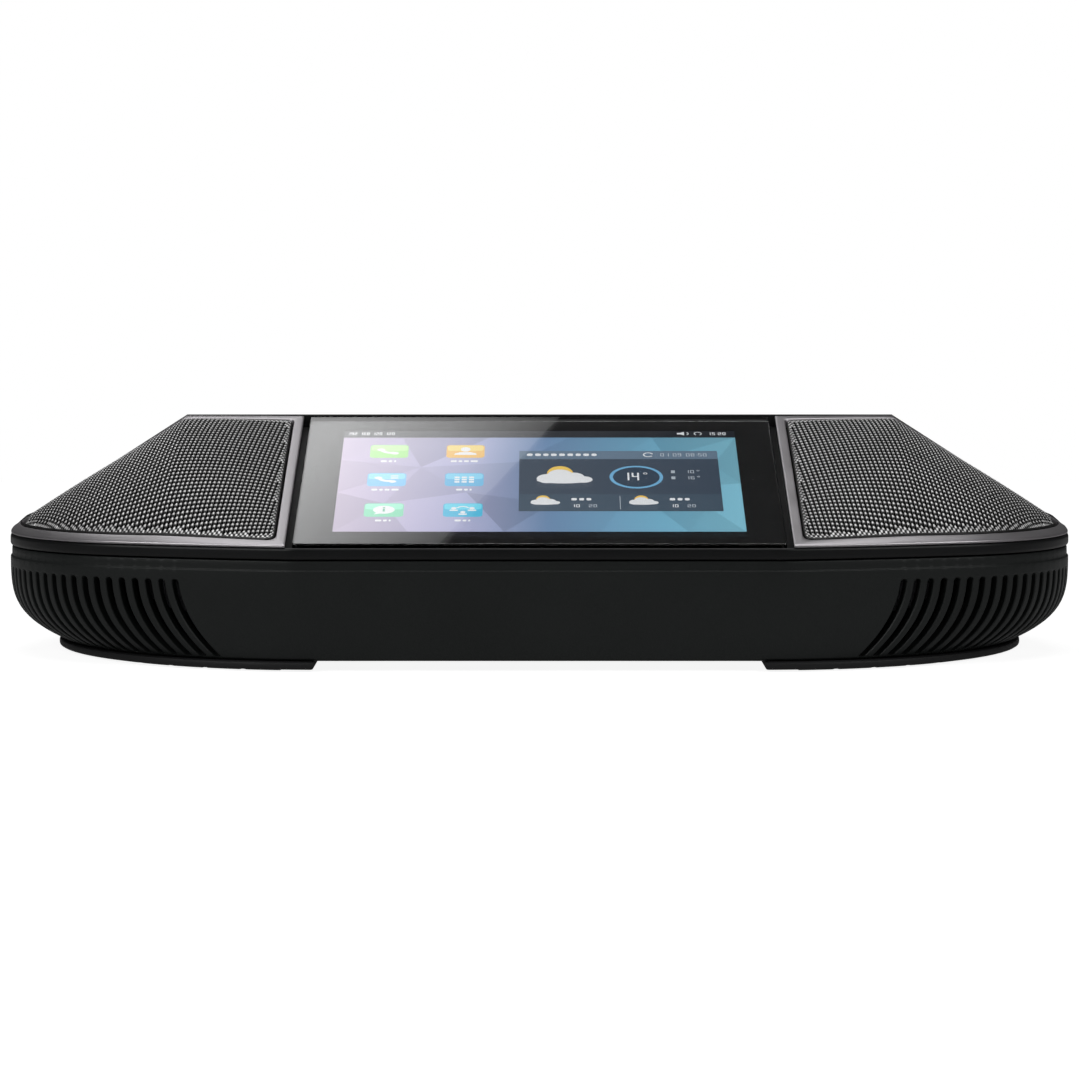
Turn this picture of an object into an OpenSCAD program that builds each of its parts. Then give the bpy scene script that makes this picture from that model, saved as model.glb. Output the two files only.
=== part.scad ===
// Conference desk phone: a low wedge with a tilted touch display between two
// domed speaker wings. Lengths are in millimetres. X runs to the right as seen
// from the front, Y runs to the back and Z is up. The origin is on the desk,
// under the middle of the body.

/* [Body plan] */
// Half width of the flat front panel, from the middle to the crease
crease_x = 56; // [54:0.5:58]
// Plan radius of the swept front panel outboard of the crease
sweep_r = 250; // [230:10:270]
// Plan radius of the two front corners
corner_r = 47; // [45:0.5:49]
// Plan radius of the flanks behind the widest point
flank_r = 90; // [84:1:96]
// Plan radius of the two rear corners
rear_r = 34; // [32:1:36]

/* [Body heights] */
// Top of the dark rim band, all the way round
rim_z = 28; // [27.5:0.1:28.5]
// Parting line between the upper and the lower housing
parting_z = 25.4; // [25:0.1:25.8]
// Height of the ridge behind the display
ridge_z = 55.6; // [54:0.2:57]
// Distance from the front edge to the ridge
ridge_run = 68; // [66:0.5:70]
// Clear height under the lower housing
floor_gap = 2.2; // [2:0.1:2.4]
// Wall thickness of the plastic housings
wall = 2.2; // [2:0.1:2.4]

/* [Display] */
// Width of the visible picture
picture_w = 93.6; // [92:0.2:94]
// Height of the visible picture along the slope
picture_h = 56.2; // [55:0.2:57]
// Distance from the front edge to the picture, along the slope
picture_start = 7.4; // [7:0.1:8]
// Thickness of the cover glass
glass_t = 1.8; // [1.5:0.1:2]

/* [Speaker wings] */
// Width of the metal trim round each grille
trim_w = 2.4; // [2.2:0.1:2.8]
// Rise of each wing between its front and its back edge
wing_dome = 3; // [2:0.25:3.5]
// Rise of the perforated sheet above the trim
sheet_dome = 1.4; // [1:0.1:1.6]
// Outer radius of each speaker frame
speaker_r = 21; // [20:0.5:21.5]
// Travel of each cone to either side of rest
cone_travel = 1.5; // [1:0.1:1.6]

/* [Vents] */
// Vent slots in each front corner
slot_n = 22; // [18:1:22]
// Distance between neighbouring slots, round the rim
slot_pitch = 3.35; // [3.2:0.05:3.4]
// Width of one slot, round the rim
slot_w = 1.6; // [1.4:0.1:1.8]

/* [Ports] */
// Width of the recessed connector bay
bay_w = 92; // [90:1:94]
// Radius of the hole in the power jack
power_bore_r = 2.75; // [2.7:0.05:2.9]
// Radius of the hole in the audio jack
audio_bore_r = 1.8; // [1.75:0.05:1.85]
// Travel of the reset button
reset_travel = 0.5; // [0.3:0.05:0.6]

/* [Hidden] */

$fn = 48;
gap = 0.3;

// Plan curves. Headings are in degrees: 0 runs to the right, 90 to the back.
crease_a = 12;
corner_a = 22;
flank_a = 128;
function out(a) = [sin(a), -cos(a)];
function chain(specs, p, i = 0) = i == len(specs) ? [] :
    let (g = specs[i], c = p - g[0] * out(g[1]))
    concat([[c, g[0], g[1], g[2]]], chain(specs, c + g[0] * out(g[2]), i + 1));
function arc_length(g) = g[1] * (g[3] - g[2]) * PI / 180;
function along(path, s, inset = 0, i = 0) =
    let (g = path[i], l = arc_length(g))
    s <= l || i == len(path) - 1
        ? g[0] + (g[1] - inset) * out(g[2] + min(s, l) / g[1] * 180 / PI)
        : along(path, s - l, inset, i + 1);
function total(path, i = 0) = i == len(path) ? 0 : arc_length(path[i]) + total(path, i + 1);

rim_specs = [[sweep_r, crease_a, corner_a], [corner_r, corner_a, 90],
    [flank_r, 90, flank_a], [rear_r, flank_a, 180]];
rim_at_origin = chain(rim_specs, [crease_x, 0]);
body_depth = along(rim_at_origin, total(rim_at_origin)).y;
front = -body_depth / 2;
rim_path = chain(rim_specs, [crease_x, front]);
half_w = rim_path[2][0].x + flank_r;
widest_y = rim_path[2][0].y;
rear = front + body_depth;

// The lower edge of the bowl is set in most at the corners.
floor_crease_x = crease_x - 6;
floor_lean = 2.2;
floor_path = chain([[66, 0.5, 90], [68, 90, flank_a], [22, flank_a, 180]],
    [floor_crease_x, front + floor_lean]);

// Matching stations on the rim and on the lower edge, by distance from the crease
first_slot = 28;
rim_widest = arc_length(rim_path[0]) + arc_length(rim_path[1]);
rim_flank = rim_widest + arc_length(rim_path[2]);
floor_widest = arc_length(floor_path[0]);
floor_flank = floor_widest + arc_length(floor_path[1]);
station_map = [[0, 0], [first_slot, 0.81 * first_slot], [rim_widest, floor_widest],
    [rim_flank, floor_flank], [total(rim_path), total(floor_path)]];
curl_map = [[0, 1.4], [first_slot, 2.2], [rim_widest - 25, 3.4], [rim_widest, 3.6],
    [rim_flank, 2.8], [total(rim_path), 2]];

// Top deck: a tilted plane in the middle, a twisted and domed fan on each wing
tilt = atan((ridge_z - rim_z - 0.5) / ridge_run);
deck_z = rim_z + 0.5;
deck_len = ridge_run / cos(tilt);
ridge_x = 86;
ridge_y = front + ridge_run;
wing_end_z = rim_z + 1;
deck_drop = glass_t + 0.4;
function drop_at(x) = deck_drop + (abs(x) > crease_x ? 0.6 : 0);
trim_in = crease_x + 1.2;

function clamp1(v) = max(-1, min(1, v));
function arc_y(g, x, inset, side) = let (r = g[1] - inset)
    g[0].y + side * r * cos(asin(clamp1((x - g[0].x) / r)));
function front_y(x, inset = 0) = let (u = abs(x))
    u <= crease_x ? front + inset :
    arc_y(rim_path[u < rim_path[1][0].x + corner_r * sin(corner_a) ? 0 : 1], u, inset, -1);
function rear_y(x, inset = 0) = let (u = abs(x))
    u <= rim_path[3][0].x ? rear - inset :
    arc_y(rim_path[u < rim_path[3][0].x + rear_r * sin(flank_a) ? 3 : 2], u, inset, 1);
function fan(x) = max(0, (abs(x) - ridge_x) / (half_w - ridge_x));
function back_y(x) = ridge_y + (widest_y - ridge_y) * fan(x);
function back_z(x) = ridge_z + (wing_end_z - ridge_z) * fan(x);
function dome_of(x) = let (u = abs(x) - crease_x)
    u <= 0 ? 0 : wing_dome * sin(90 * min(1, u / 30)) * sin(90 * min(1, (half_w - abs(x)) / 30));
function deck_at(x, y) = let (v = clamp1((y - front_y(x)) / max(0.01, back_y(x) - front_y(x))))
    deck_z + (back_z(x) - deck_z) * v + dome_of(x) * 4 * v * (1 - v);

// A solid lofted through closed sections, from left to right. Each section has the
// same even number of points: along the top from front to back, then back below.
module loft(sections) {
    n = len(sections[0]);
    last = len(sections) - 1;
    points = [for (s = sections) for (p = s) p];
    sides = [for (i = [0:last - 1], j = [0:n - 1]) let (a = i * n + j, b = i * n + (j + 1) % n)
        each [[a, b, a + n], [b, b + n, a + n]]];
    cap = [for (j = [0:n / 2 - 2]) each [[j, n - 2 - j, j + 1], [j, n - 1 - j, n - 2 - j]]];
    ends = concat(cap, [for (f = cap) [f.z, f.y, f.x] + last * n * [1, 1, 1]]);
    polyhedron(points, concat(sides, ends), convexity = 8);
}

// The same round a closed loop
module loop_loft(sections) {
    n = len(sections[0]);
    m = len(sections);
    points = [for (s = sections) for (p = s) p];
    polyhedron(points, [for (i = [0:m - 1], j = [0:n - 1])
        let (a = i * n + j, b = i * n + (j + 1) % n, c = (i + 1) % m * n - i * n)
        each [[a, a + c, b], [b, a + c, b + c]]], convexity = 8);
}

// Stations across the whole body, closer together near the widest point
half_stations = concat([0, crease_x - 1.5, crease_x + 1, 63, 70, 78, ridge_x],
    [for (a = [24, 32, 40, 48, 56, 63, 70, 76, 82, 86.5])
        rim_path[1][0].x + corner_r * sin(a)]);
stations = let (h = half_stations, n = len(h) - 1) concat([for (i = [n:-1:1]) -h[i]], h);

// A slab of the deck over one wing, between two offsets from the deck surface
function wing_stations(inset, tip = 0) = let (x0 = trim_in + inset, x1 = half_w - inset - tip)
    concat([for (i = [0:4]) x0 + (ridge_x - x0) * i / 5],
        [for (i = [0:10]) ridge_x + (x1 - ridge_x) * sin(89 * i / 10)]);
function wing_section(x, inset, top, bottom, dome, rows = 6) =
    let (y0 = front_y(x, inset), y1 = max(y0 + 0.4, back_y(x) - inset - 0.6),
        ys = [for (i = [0:rows]) y0 + (y1 - y0) * i / rows],
        rise = [for (i = [0:rows]) dome * sin(180 * i / rows)])
    concat([for (i = [0:rows]) [x, ys[i], deck_at(x, ys[i]) + top + rise[i]]],
        [for (i = [rows:-1:0]) [x, ys[i], deck_at(x, ys[i]) + bottom + rise[i]]]);
module wing_slab(inset, top, bottom, dome = 0) {
    xs = wing_stations(inset, 2.5);
    x0 = xs[0];
    x1 = xs[len(xs) - 1];
    loft([for (x = xs) wing_section(x, inset, top, bottom,
        dome * sin(180 * (x - x0) / (x1 - x0)))]);
}

// Children drawn on the right, or mirrored to the left
module on_side(side) {
    mirror([side < 0 ? 1 : 0, 0, 0]) children();
}

// Children placed on the display plane, run along the slope from the front edge
module on_deck(x = 0, run = 0, depth = 0) {
    translate([x, front, deck_z]) rotate([tilt, 0, 0]) translate([0, run, -depth]) children();
}

// ---- housings ----

// Positions of the long screw posts
posts = [for (sx = [-1, 1], p = [[62, front + 13], [92, front + 78], [70, rear - 22]])
    [sx * p.x, p.y]];
post_r = 3.4;
post_z = 8;
post_under = 3;
pilot_r = 1.25;

// Height of the upper housing's top surface, under the glass and the trims
lip = 0.8;
crest = 2.5;
function slope_z(x, y) = let (y0 = back_y(x) + crest, v = clamp1((y - y0) / (rear_y(x) - y0)))
    back_z(x) + (rim_z - back_z(x)) * v + 2.2 * sin(180 * v);
function roof_z(x, y) = y < back_y(x) ? deck_at(x, y) - drop_at(x) : slope_z(x, y);

// Section of the upper housing: the outer skin from front to back, then the inner
function shell_section(x) =
    let (y0 = front_y(x), y1 = rear_y(x), k = min(1, (y1 - y0) / 30), hollow = k == 1,
        a = y0 + lip * k, b = back_y(x) - 0.3, c = back_y(x) + crest * k, low = parting_z,
        deck = [for (v = [0, 0.25, 0.5, 0.75, 1]) let (y = a + 0.1 + (b - a - 0.1) * v)
            [x, y, max(low + 0.6, deck_at(x, y) - drop_at(x) * max(0.3, k))]],
        back = [for (v = [0, 0.33, 0.67]) let (y = c + (y1 - c) * v)
            [x, y, back_z(x) + (rim_z - back_z(x)) * v + 2.2 * k * sin(180 * v)]],
        skin = concat([[x, y0, low], [x, y0, rim_z], [x, a, rim_z + 0.05]], deck,
            [[x, b + 0.05, back_z(x)]], back, [[x, y1, rim_z], [x, y1, low]]),
        n = len(skin) - 1, t = min(wall, (y1 - y0) / 6),
        lining = [for (i = [0:n]) let (p = skin[i],
            y = min(max(p.y, y0 + t + 0.1 * i), y1 - t - 0.1 * (n - i)) + (i == 8 ? 0.1 : 0))
            [x, y, i == 0 || i == n ? low : !hollow ? low + 0.3 :
                max(low + 0.3, min(p.z, roof_z(x, y)) - wall)]])
    concat(skin, [for (i = [n:-1:0]) lining[i]]);

module upper_housing() {
    color("#1b1c1d") difference() {
        union() {
            loft([for (x = stations) shell_section(x)]);
            for (p = posts) translate([p.x, p.y, post_z])
                cylinder(r = post_r, h = roof_z(p.x, p.y) - post_under - post_z);
        }
        on_deck(0, 1.7, 12) translate([-54, 0, 0]) cube([108, 68, 20]);
        for (side = [-1, 1]) on_side(side)
            on_deck(speaker_x, speaker_run, 14) cylinder(r = speaker_r - 1, h = 22);
        for (p = posts) translate([p.x, p.y, post_z - 1]) cylinder(r = pilot_r, h = 12);
        for (p = bracket_pads) on_deck(p.x, p.y, 8) cylinder(r = 0.9, h = 5.2);
    }
}

// Bowl: one column of points for each station, outer skin up and inner skin down
bowl_z = [2.2, 2.8, 4.4, 6.8, 9.8, 13.2, 16.8, 20.4, parting_z - gap];
slot_rows = [1, 6];
function slot_edges() = [for (i = [0:slot_n - 1]) each
    [first_slot + i * slot_pitch - slot_w / 2, first_slot + i * slot_pitch + slot_w / 2]];
last_slot = first_slot + (slot_n - 1) * slot_pitch + slot_w / 2;
side_stations = concat([0, 7, 14, 21], slot_edges(),
    [for (i = [1:6]) last_slot + (rim_flank - last_slot) * i / 6],
    [for (i = [1:6]) rim_flank + (total(rim_path) - rim_flank) * i / 6]);
side_n = len(side_stations);
slot_first_col = 4;
function bowl_point(s, z, inset) =
    let (h = max(0, (20.8 + 2 - z) / (22.8 - floor_gap)),
        w = pow(h, lookup(s, curl_map)),
        a = along(rim_path, s, inset), b = along(floor_path, lookup(s, station_map), inset))
    let (p = a + (b - a) * w) [p.x, p.y, z];
function bowl_column(s, sx) = concat(
    [for (z = bowl_z) let (p = bowl_point(s, z, 0)) [sx * p.x, p.y, p.z]],
    [for (i = [len(bowl_z) - 1:-1:0]) let (p = bowl_point(s, bowl_z[i], wall))
        [sx * p.x, p.y, p.z]]);
function is_slot(c) = let (k = c < side_n ? c : 2 * side_n - 2 - c, j = k - slot_first_col)
    c != side_n - 1 && j >= 0 && j < 2 * slot_n && j % 2 == 0;

module bowl() {
    rows = len(bowl_z);
    n = 2 * rows;
    cols = 2 * side_n;
    points = concat([for (s = side_stations) each bowl_column(s, 1)],
        [for (i = [side_n - 1:-1:0]) each bowl_column(side_stations[i], -1)]);
    function id(c, r) = (c % cols) * n + r % n;
    function quad(a, b, c, d) = [[a, b, c], [a, c, d]];
    function open(c, r) = is_slot(c) &&
        (r >= slot_rows[0] && r <= slot_rows[1] ||
        n - 2 - r >= slot_rows[0] && n - 2 - r <= slot_rows[1]);
    skin = [for (c = [0:cols - 1], r = [0:n - 1]) if (!open(c, r))
        each quad(id(c, r), id(c, r + 1), id(c + 1, r + 1), id(c + 1, r))];
    cheeks = [for (c = [0:cols - 1]) if (is_slot(c)) each
        concat([for (r = [slot_rows[0]:slot_rows[1]]) each concat(
            quad(id(c, r), id(c, r + 1), id(c, n - 2 - r), id(c, n - 1 - r)),
            quad(id(c + 1, n - 1 - r), id(c + 1, n - 2 - r), id(c + 1, r + 1), id(c + 1, r)))],
            quad(id(c + 1, slot_rows[0]), id(c, slot_rows[0]),
                id(c, n - 1 - slot_rows[0]), id(c + 1, n - 1 - slot_rows[0])),
            quad(id(c, slot_rows[1] + 1), id(c + 1, slot_rows[1] + 1),
                id(c + 1, n - 2 - slot_rows[1]), id(c, n - 2 - slot_rows[1])))];
    polyhedron(points, concat(skin, cheeks), convexity = 10);
}

// Bay in the rear wall, cut to clear the outside of the connector tray
bay_z = 5.4;
bay_h = 17.2;
tray_wall = 1;
tray_w = bay_w + 2 * tray_wall;
module lower_housing() {
    color("#2a2d2e") difference() {
        bowl();
        translate([-tray_w / 2 - gap, panel_y - 1, bay_z - tray_wall - gap])
            cube([tray_w + 2 * gap, 20, bay_h + 2 * (tray_wall + gap)]);
    }
}

cover_t = 2;
function cover_outline(inset) = let (l = total(floor_path),
    half = [for (i = [0:24]) along(floor_path, l * i / 24, inset)])
    concat(half, [for (i = [24:-1:0]) [-half[i].x, half[i].y]]);
board_z = 6.2;
board_w = 98;
board_d = 84;
board_y = rear - 14 - board_d;
board_posts = [for (sx = [-1, 1], y = [board_y + 5, board_y + board_d - 24]) [sx * 45, y]];
module bottom_cover() {
    color("#232526") difference() {
        union() {
            translate([0, 0, floor_gap]) linear_extrude(cover_t)
                polygon(cover_outline(wall + gap));
            for (p = posts) translate([p.x, p.y, floor_gap]) cylinder(r = post_r + 0.4, h = 5.6);
            for (p = board_posts) translate([p.x, p.y, floor_gap])
                cylinder(r = 3, h = board_z - floor_gap);
        }
        for (p = posts) translate([p.x, p.y, 0]) {
            cylinder(r = 1.7, h = 12);
            cylinder(r = 3, h = 5);
        }
        for (p = board_posts) translate([p.x, p.y, 4.4]) cylinder(r = 1, h = 10);
        for (i = [-6:6]) translate([i * 5 - 1, -14, 0]) cube([2, 28, 6]);
    }
}

// ---- display ----

module cover_glass() {
    color("#0b0b0c") on_deck(0, lip + 0.3, glass_t)
        translate([-crease_x + 0.2, 0, 0]) cube([2 * crease_x - 0.4, deck_len - lip - 1.6, glass_t]);
}

module lcd_module() {
    w = picture_w + 12;
    h = picture_h + 10;
    run = picture_start - 5;
    color("#9fb4cf") difference() {
        on_deck(0, run, glass_t + 3.3) translate([-w / 2, 0, 0]) cube([w, h, 3.2]);
        on_deck(0, run + 12, glass_t + 3.4) translate([-w / 2 + 8, 0, 0]) cube([w - 16, h - 24, 0.6]);
    }
}

bracket_pads = [for (sx = [-1, 1], r = [22, deck_len - 14]) [sx * 56.4, r]];
module display_bracket() {
    color("#a9adb2") on_deck(0, 0, glass_t + 4.7) difference() {
        union() {
            translate([-53, 6, 0]) cube([106, deck_len - 16, 1.2]);
            for (p = bracket_pads) translate([p.x - 3, p.y - 4, 0]) cube([6, 8, 1.7]);
            for (p = bracket_pads) translate([p.x > 0 ? 50 : -54, p.y - 4, 0]) cube([4, 8, 1.2]);
        }
        for (sx = [-1, 1]) translate([sx * 24 - 15, 20, -1]) cube([30, 28, 4]);
        for (p = bracket_pads) translate([p.x, p.y, -1]) cylinder(r = 1.2, h = 4);
    }
}

ribbon_x = 24;
module display_ribbon() {
    path = [[31.8, board_z + 3.8], [31.8, 19], [33, 23], [31.2, 29], [31.2, 34.6]];
    profile = concat([for (p = path) p + [front, 0]],
        [for (i = [len(path) - 1:-1:0]) path[i] + [front + 0.3, 0]]);
    color("#c98a3a") translate([ribbon_x - 10, 0, 0]) rotate([90, 0, 90])
        linear_extrude(20) polygon(profile);
}

// ---- speaker wings ----

// L section: a thin outer lip lies on the housing, the rest drops in behind it
trim_t = 2;
trim_step = 1;
trim_lip = 0.42;
function trim_section(i, back) =
    let (at = function(u) let (x = wing_stations(0.15 + u)[i],
        y = back ? max(front_y(x, 0.15 + u) + 0.4, back_y(x) - 0.6 - u) : front_y(x, 0.15 + u))
        [x, y, deck_at(x, y)])
    [at(0), at(0) - [0, 0, trim_lip], at(trim_step) - [0, 0, trim_lip + 0.2],
        at(trim_step + 0.1) - [0, 0, trim_t], at(trim_w) - [0, 0, trim_t], at(trim_w)];
module trim_ring() {
    last = len(wing_stations(0)) - 1;
    loop_loft(concat([for (i = [0:last]) trim_section(i, false)],
        [for (i = [last:-1:0]) trim_section(i, true)]));
}
module left_trim() {
    color("#8d8a8e") on_side(-1) trim_ring();
}
module right_trim() {
    color("#8d8a8e") on_side(1) trim_ring();
}

sheet_t = 0.8;
module grille_sheet() {
    wing_slab(trim_w + 0.5, 0.1, 0.1 - sheet_t, sheet_dome);
}
module left_grille() {
    color("#303133") on_side(-1) grille_sheet();
}
module right_grille() {
    color("#303133") on_side(1) grille_sheet();
}

module cloth_sheet() {
    wing_slab(trim_w + 0.5, -1.1, -1.5, sheet_dome / 2);
}
module left_cloth() {
    color("#101010") on_side(-1) cloth_sheet();
}
module right_cloth() {
    color("#101010") on_side(1) cloth_sheet();
}

speaker_x = 80;
speaker_run = 41;
speaker_depth = 13;
module at_speaker(side, up = 0) {
    on_side(side) on_deck(speaker_x, speaker_run, speaker_depth - up) children();
}

// Each baffle carries its speaker and stands on the bottom cover
leg_z = floor_gap + cover_t + 0.02;
module baffle(side) {
    color("#1d1e1f") difference() {
        union() {
            at_speaker(side, -3.2) translate([-22.5, -24, 0]) cube([45, 48, 2]);
            on_side(side) intersection() {
                union() {
                    translate([speaker_x - 22.5, front + 24, leg_z]) cube([2, 38, 32]);
                    translate([speaker_x + 18.5, front + 40, leg_z]) cube([2, 22, 32]);
                }
                on_deck(0, 0, speaker_depth + 2.2) translate([0, -20, -40]) cube([200, 120, 40]);
            }
        }
        at_speaker(side, -4) cylinder(r = speaker_r - 2.6, h = 4);
        for (a = [45:90:315]) at_speaker(side, -4) rotate(a)
            translate([speaker_r + 1.4, 0, 0]) cylinder(r = 0.9, h = 4);
        on_side(side) translate([speaker_x - 24, wire_y - 1, chip_z + 0.6]) cube([6, 5, 5]);
    }
}
module left_baffle() {
    baffle(-1);
}
module right_baffle() {
    baffle(1);
}

// Basket: flange, tapering frame with windows, and the magnet seat
module basket(side) {
    color("#3a3c3f") at_speaker(side) difference() {
        union() {
            translate([0, 0, -1.2]) cylinder(r = speaker_r - 0.2, h = 1.2);
            for (a = [45:90:315]) rotate(a) translate([speaker_r + 1.4, 0, -1.2])
                cylinder(r = 2.4, h = 1.2);
            translate([0, 0, -9.4]) cylinder(r1 = 15, r2 = 18.2, h = 9);
        }
        translate([0, 0, -8.2]) cylinder(r1 = 14.2, r2 = 17.4, h = 8.21);
        translate([0, 0, -2]) cylinder(r = 17.4, h = 4);
        translate([0, 0, -10]) cylinder(r = 7.2, h = 4);
        for (a = [0:60:300]) rotate(a) translate([11, -3, -7.4]) cube([12, 6, 4.6]);
        for (a = [45:90:315]) rotate(a) translate([speaker_r + 1.4, 0, -2])
            cylinder(r = 1.1, h = 4);
    }
}
module left_basket() {
    basket(-1);
}
module right_basket() {
    basket(1);
}

// Magnet stack: top plate, ferrite ring and yoke with its pole
module magnet(side) {
    color("#54575b") at_speaker(side) difference() {
        translate([0, 0, -17.4]) cylinder(r = 14, h = 8);
        translate([0, 0, -15.6]) difference() {
            cylinder(r = 7.2, h = 8);
            translate([0, 0, -1]) cylinder(r = 5.4, h = 10);
        }
    }
}
module left_magnet() {
    magnet(-1);
}
module right_magnet() {
    magnet(1);
}

// Moving part: paper cone, dust cap and voice coil in one piece
module cone(side) {
    color("#26272a") at_speaker(side) rotate_extrude()
        polygon([[0, -3.3], [2, -3.4], [4.5, -4.1], [6.2, -4.9], [13.3, -1.7], [13.3, -2.4],
            [6.6, -5.6], [6.6, -12.4], [6, -12.4], [6, -5.5], [4.4, -4.8], [2, -4.1], [0, -4]]);
}
module left_cone() {
    cone(-1);
}
module right_cone() {
    cone(1);
}

// Rubber half roll between the cone and the basket
module surround(side) {
    color("#141414") at_speaker(side) rotate_extrude()
        polygon(concat([for (i = [0:10]) [15.5 + 1.9 * -cos(18 * i), -1.1 + 1.9 * sin(18 * i)]],
            [for (i = [10:-1:0]) [15.5 + 1.5 * -cos(18 * i), -1.1 + 1.5 * sin(18 * i)]]));
}
module left_surround() {
    surround(-1);
}
module right_surround() {
    surround(1);
}

// Corrugated disc that centres the coil
module spider(side) {
    color("#b08a50") at_speaker(side, -7.2) rotate_extrude()
        polygon(concat([for (i = [0:12]) [6.7 + 0.6 * i, 0.3 * cos(90 * i)]],
            [for (i = [12:-1:0]) [6.7 + 0.6 * i, 0.3 * cos(90 * i) - 0.3]]));
}
module left_spider() {
    spider(-1);
}
module right_spider() {
    spider(1);
}

// ---- electronics ----

board_t = 1.6;
module main_board() {
    color("#1f5a38") difference() {
        translate([-board_w / 2, board_y, board_z]) cube([board_w, board_d, board_t]);
        for (p = board_posts) translate([p.x, p.y, board_z - 1]) cylinder(r = 1.6, h = 4);
    }
}

chip_z = board_z + board_t;
module processor() {
    color("#202124") translate([-8, board_y + 26, chip_z]) cube([16, 16, 1.2]);
}
module memory_chips() {
    color("#202124") for (x = [-26, 15]) translate([x, board_y + 28, chip_z]) cube([11, 12, 1]);
}
module shield_can() {
    color("#b9bcc0") translate([-44, board_y + 27, chip_z]) difference() {
        cube([15, 20, 2.6]);
        translate([0.3, 0.3, -0.1]) cube([14.4, 19.4, 2.4]);
    }
}
module heat_spreader() {
    color("#a4a8ac") translate([-13, board_y + 21, chip_z + 1.2]) {
        cube([26, 26, 1.4]);
        for (i = [0:6]) translate([i * 4.1, 0, 1.4]) cube([1.2, 26, 5]);
    }
}
module board_connectors() {
    color("#e8e4d8") {
        translate([ribbon_x - 12, front + 29, chip_z]) cube([24, 5.6, 2.1]);
        for (sx = [-1, 1]) translate([sx * 40 - 4, board_y + 12, chip_z]) cube([8, 5, 4]);
    }
}

// Recessed tray in the rear wall, with an opening for each socket
panel_y = rear - 13.6;
panel_t = 1.6;
port_z = board_z + board_t;
lan_x = -33;
pc_x = -14;
usb_x = 5;
audio_x = 19;
power_x = 33;
reset_x = 26;
reset_z = 11.6;
tray_low = bay_z - tray_wall;
tray_high = bay_z + bay_h + tray_wall;
tray_profile = concat([[panel_y, tray_high], [panel_y, tray_low]],
    [for (i = [0:8]) let (z = tray_low + (tray_high - tray_low) * i / 8)
        [bowl_point(total(rim_path), z, 0.4).y, z]]);
module port_panel() {
    color("#232526") difference() {
        translate([-tray_w / 2, 0, 0]) rotate([90, 0, 90]) linear_extrude(tray_w)
            polygon(tray_profile);
        translate([-bay_w / 2, panel_y + panel_t, bay_z]) cube([bay_w, 20, bay_h]);
        for (x = [lan_x, pc_x]) translate([x - 8.2, panel_y - 1, port_z - 0.2]) cube([16.4, 4, 14]);
        translate([usb_x - 7.2, panel_y - 1, port_z - 0.2]) cube([14.4, 4, 7.6]);
        translate([audio_x, panel_y - 1, port_z + 3]) rotate([-90, 0, 0]) cylinder(r = 2.8, h = 4);
        translate([power_x, panel_y - 1, port_z + 5.5]) rotate([-90, 0, 0]) cylinder(r = 4.6, h = 4);
        translate([reset_x, panel_y - 1, reset_z]) rotate([-90, 0, 0]) cylinder(r = 1.4, h = 4);
        translate([40, panel_y - 1, port_z + 2]) cube([3.2, 4, 7]);
    }
}

// Shielded modular socket, open to the rear, with the notch for the latch
module modular_socket(x) {
    translate([x - 8, panel_y - 13.4, port_z]) difference() {
        cube([16, 14.6, 13.4]);
        translate([2.1, 4, 3.4]) cube([11.8, 12, 7.6]);
        translate([5, 4, 1.6]) cube([6, 12, 2]);
    }
}
module lan_port() {
    color("#b4b7ba") modular_socket(lan_x);
}
module pc_port() {
    color("#b4b7ba") modular_socket(pc_x);
}
module usb_port() {
    color("#b4b7ba") translate([usb_x - 7, panel_y - 13.4, port_z]) difference() {
        cube([14, 14.6, 7]);
        translate([0.6, 3, 0.9]) cube([12.8, 12, 5.2]);
    }
    color("#e9e9e4") translate([usb_x - 5.5, panel_y - 11, port_z + 4.3]) cube([11, 11, 1.7]);
}

module audio_jack() {
    color("#1c1c1e") translate([audio_x, panel_y, port_z + 3]) difference() {
        union() {
            translate([-3.2, -12.4, -3]) cube([6.4, 12.3, 6]);
            rotate([-90, 0, 0]) cylinder(r = 2.7, h = panel_t);
            translate([0, -0.2, 0]) rotate([-90, 0, 0]) cylinder(r = 2.7, h = 1);
        }
        translate([0, -10.4, 0]) rotate([-90, 0, 0]) cylinder(r = audio_bore_r, h = 14);
    }
}

module power_jack() {
    color("#1c1c1e") translate([power_x, panel_y, port_z + 5.5]) {
        difference() {
            union() {
                translate([-4.6, -13, -5.5]) cube([9.2, 12.9, 11]);
                translate([0, -0.2, 0]) rotate([-90, 0, 0]) cylinder(r = 4.5, h = panel_t + 0.2);
            }
            translate([0, -9.4, 0]) rotate([-90, 0, 0]) cylinder(r = power_bore_r, h = 14);
        }
        translate([0, -10, 0]) rotate([-90, 0, 0]) cylinder(r = 1, h = 9);
    }
}

// Button that a fingertip or a pin pushes in against the switch
module reset_button() {
    color("#4b4e51") translate([reset_x, panel_y, reset_z]) rotate([-90, 0, 0]) {
        translate([0, 0, -2.2]) cylinder(r = 1.25, h = panel_t + 2.6);
        translate([0, 0, -3.2]) cylinder(r = 2.2, h = 1.2);
    }
}
module reset_switch() {
    color("#8f9296") translate([reset_x - 2.2, panel_y - 8, port_z]) {
        cube([4.4, 4, 6.4]);
        translate([2.2, 4, reset_z - port_z]) rotate([-90, 0, 0]) cylinder(r = 1, h = 0.2);
    }
}

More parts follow.
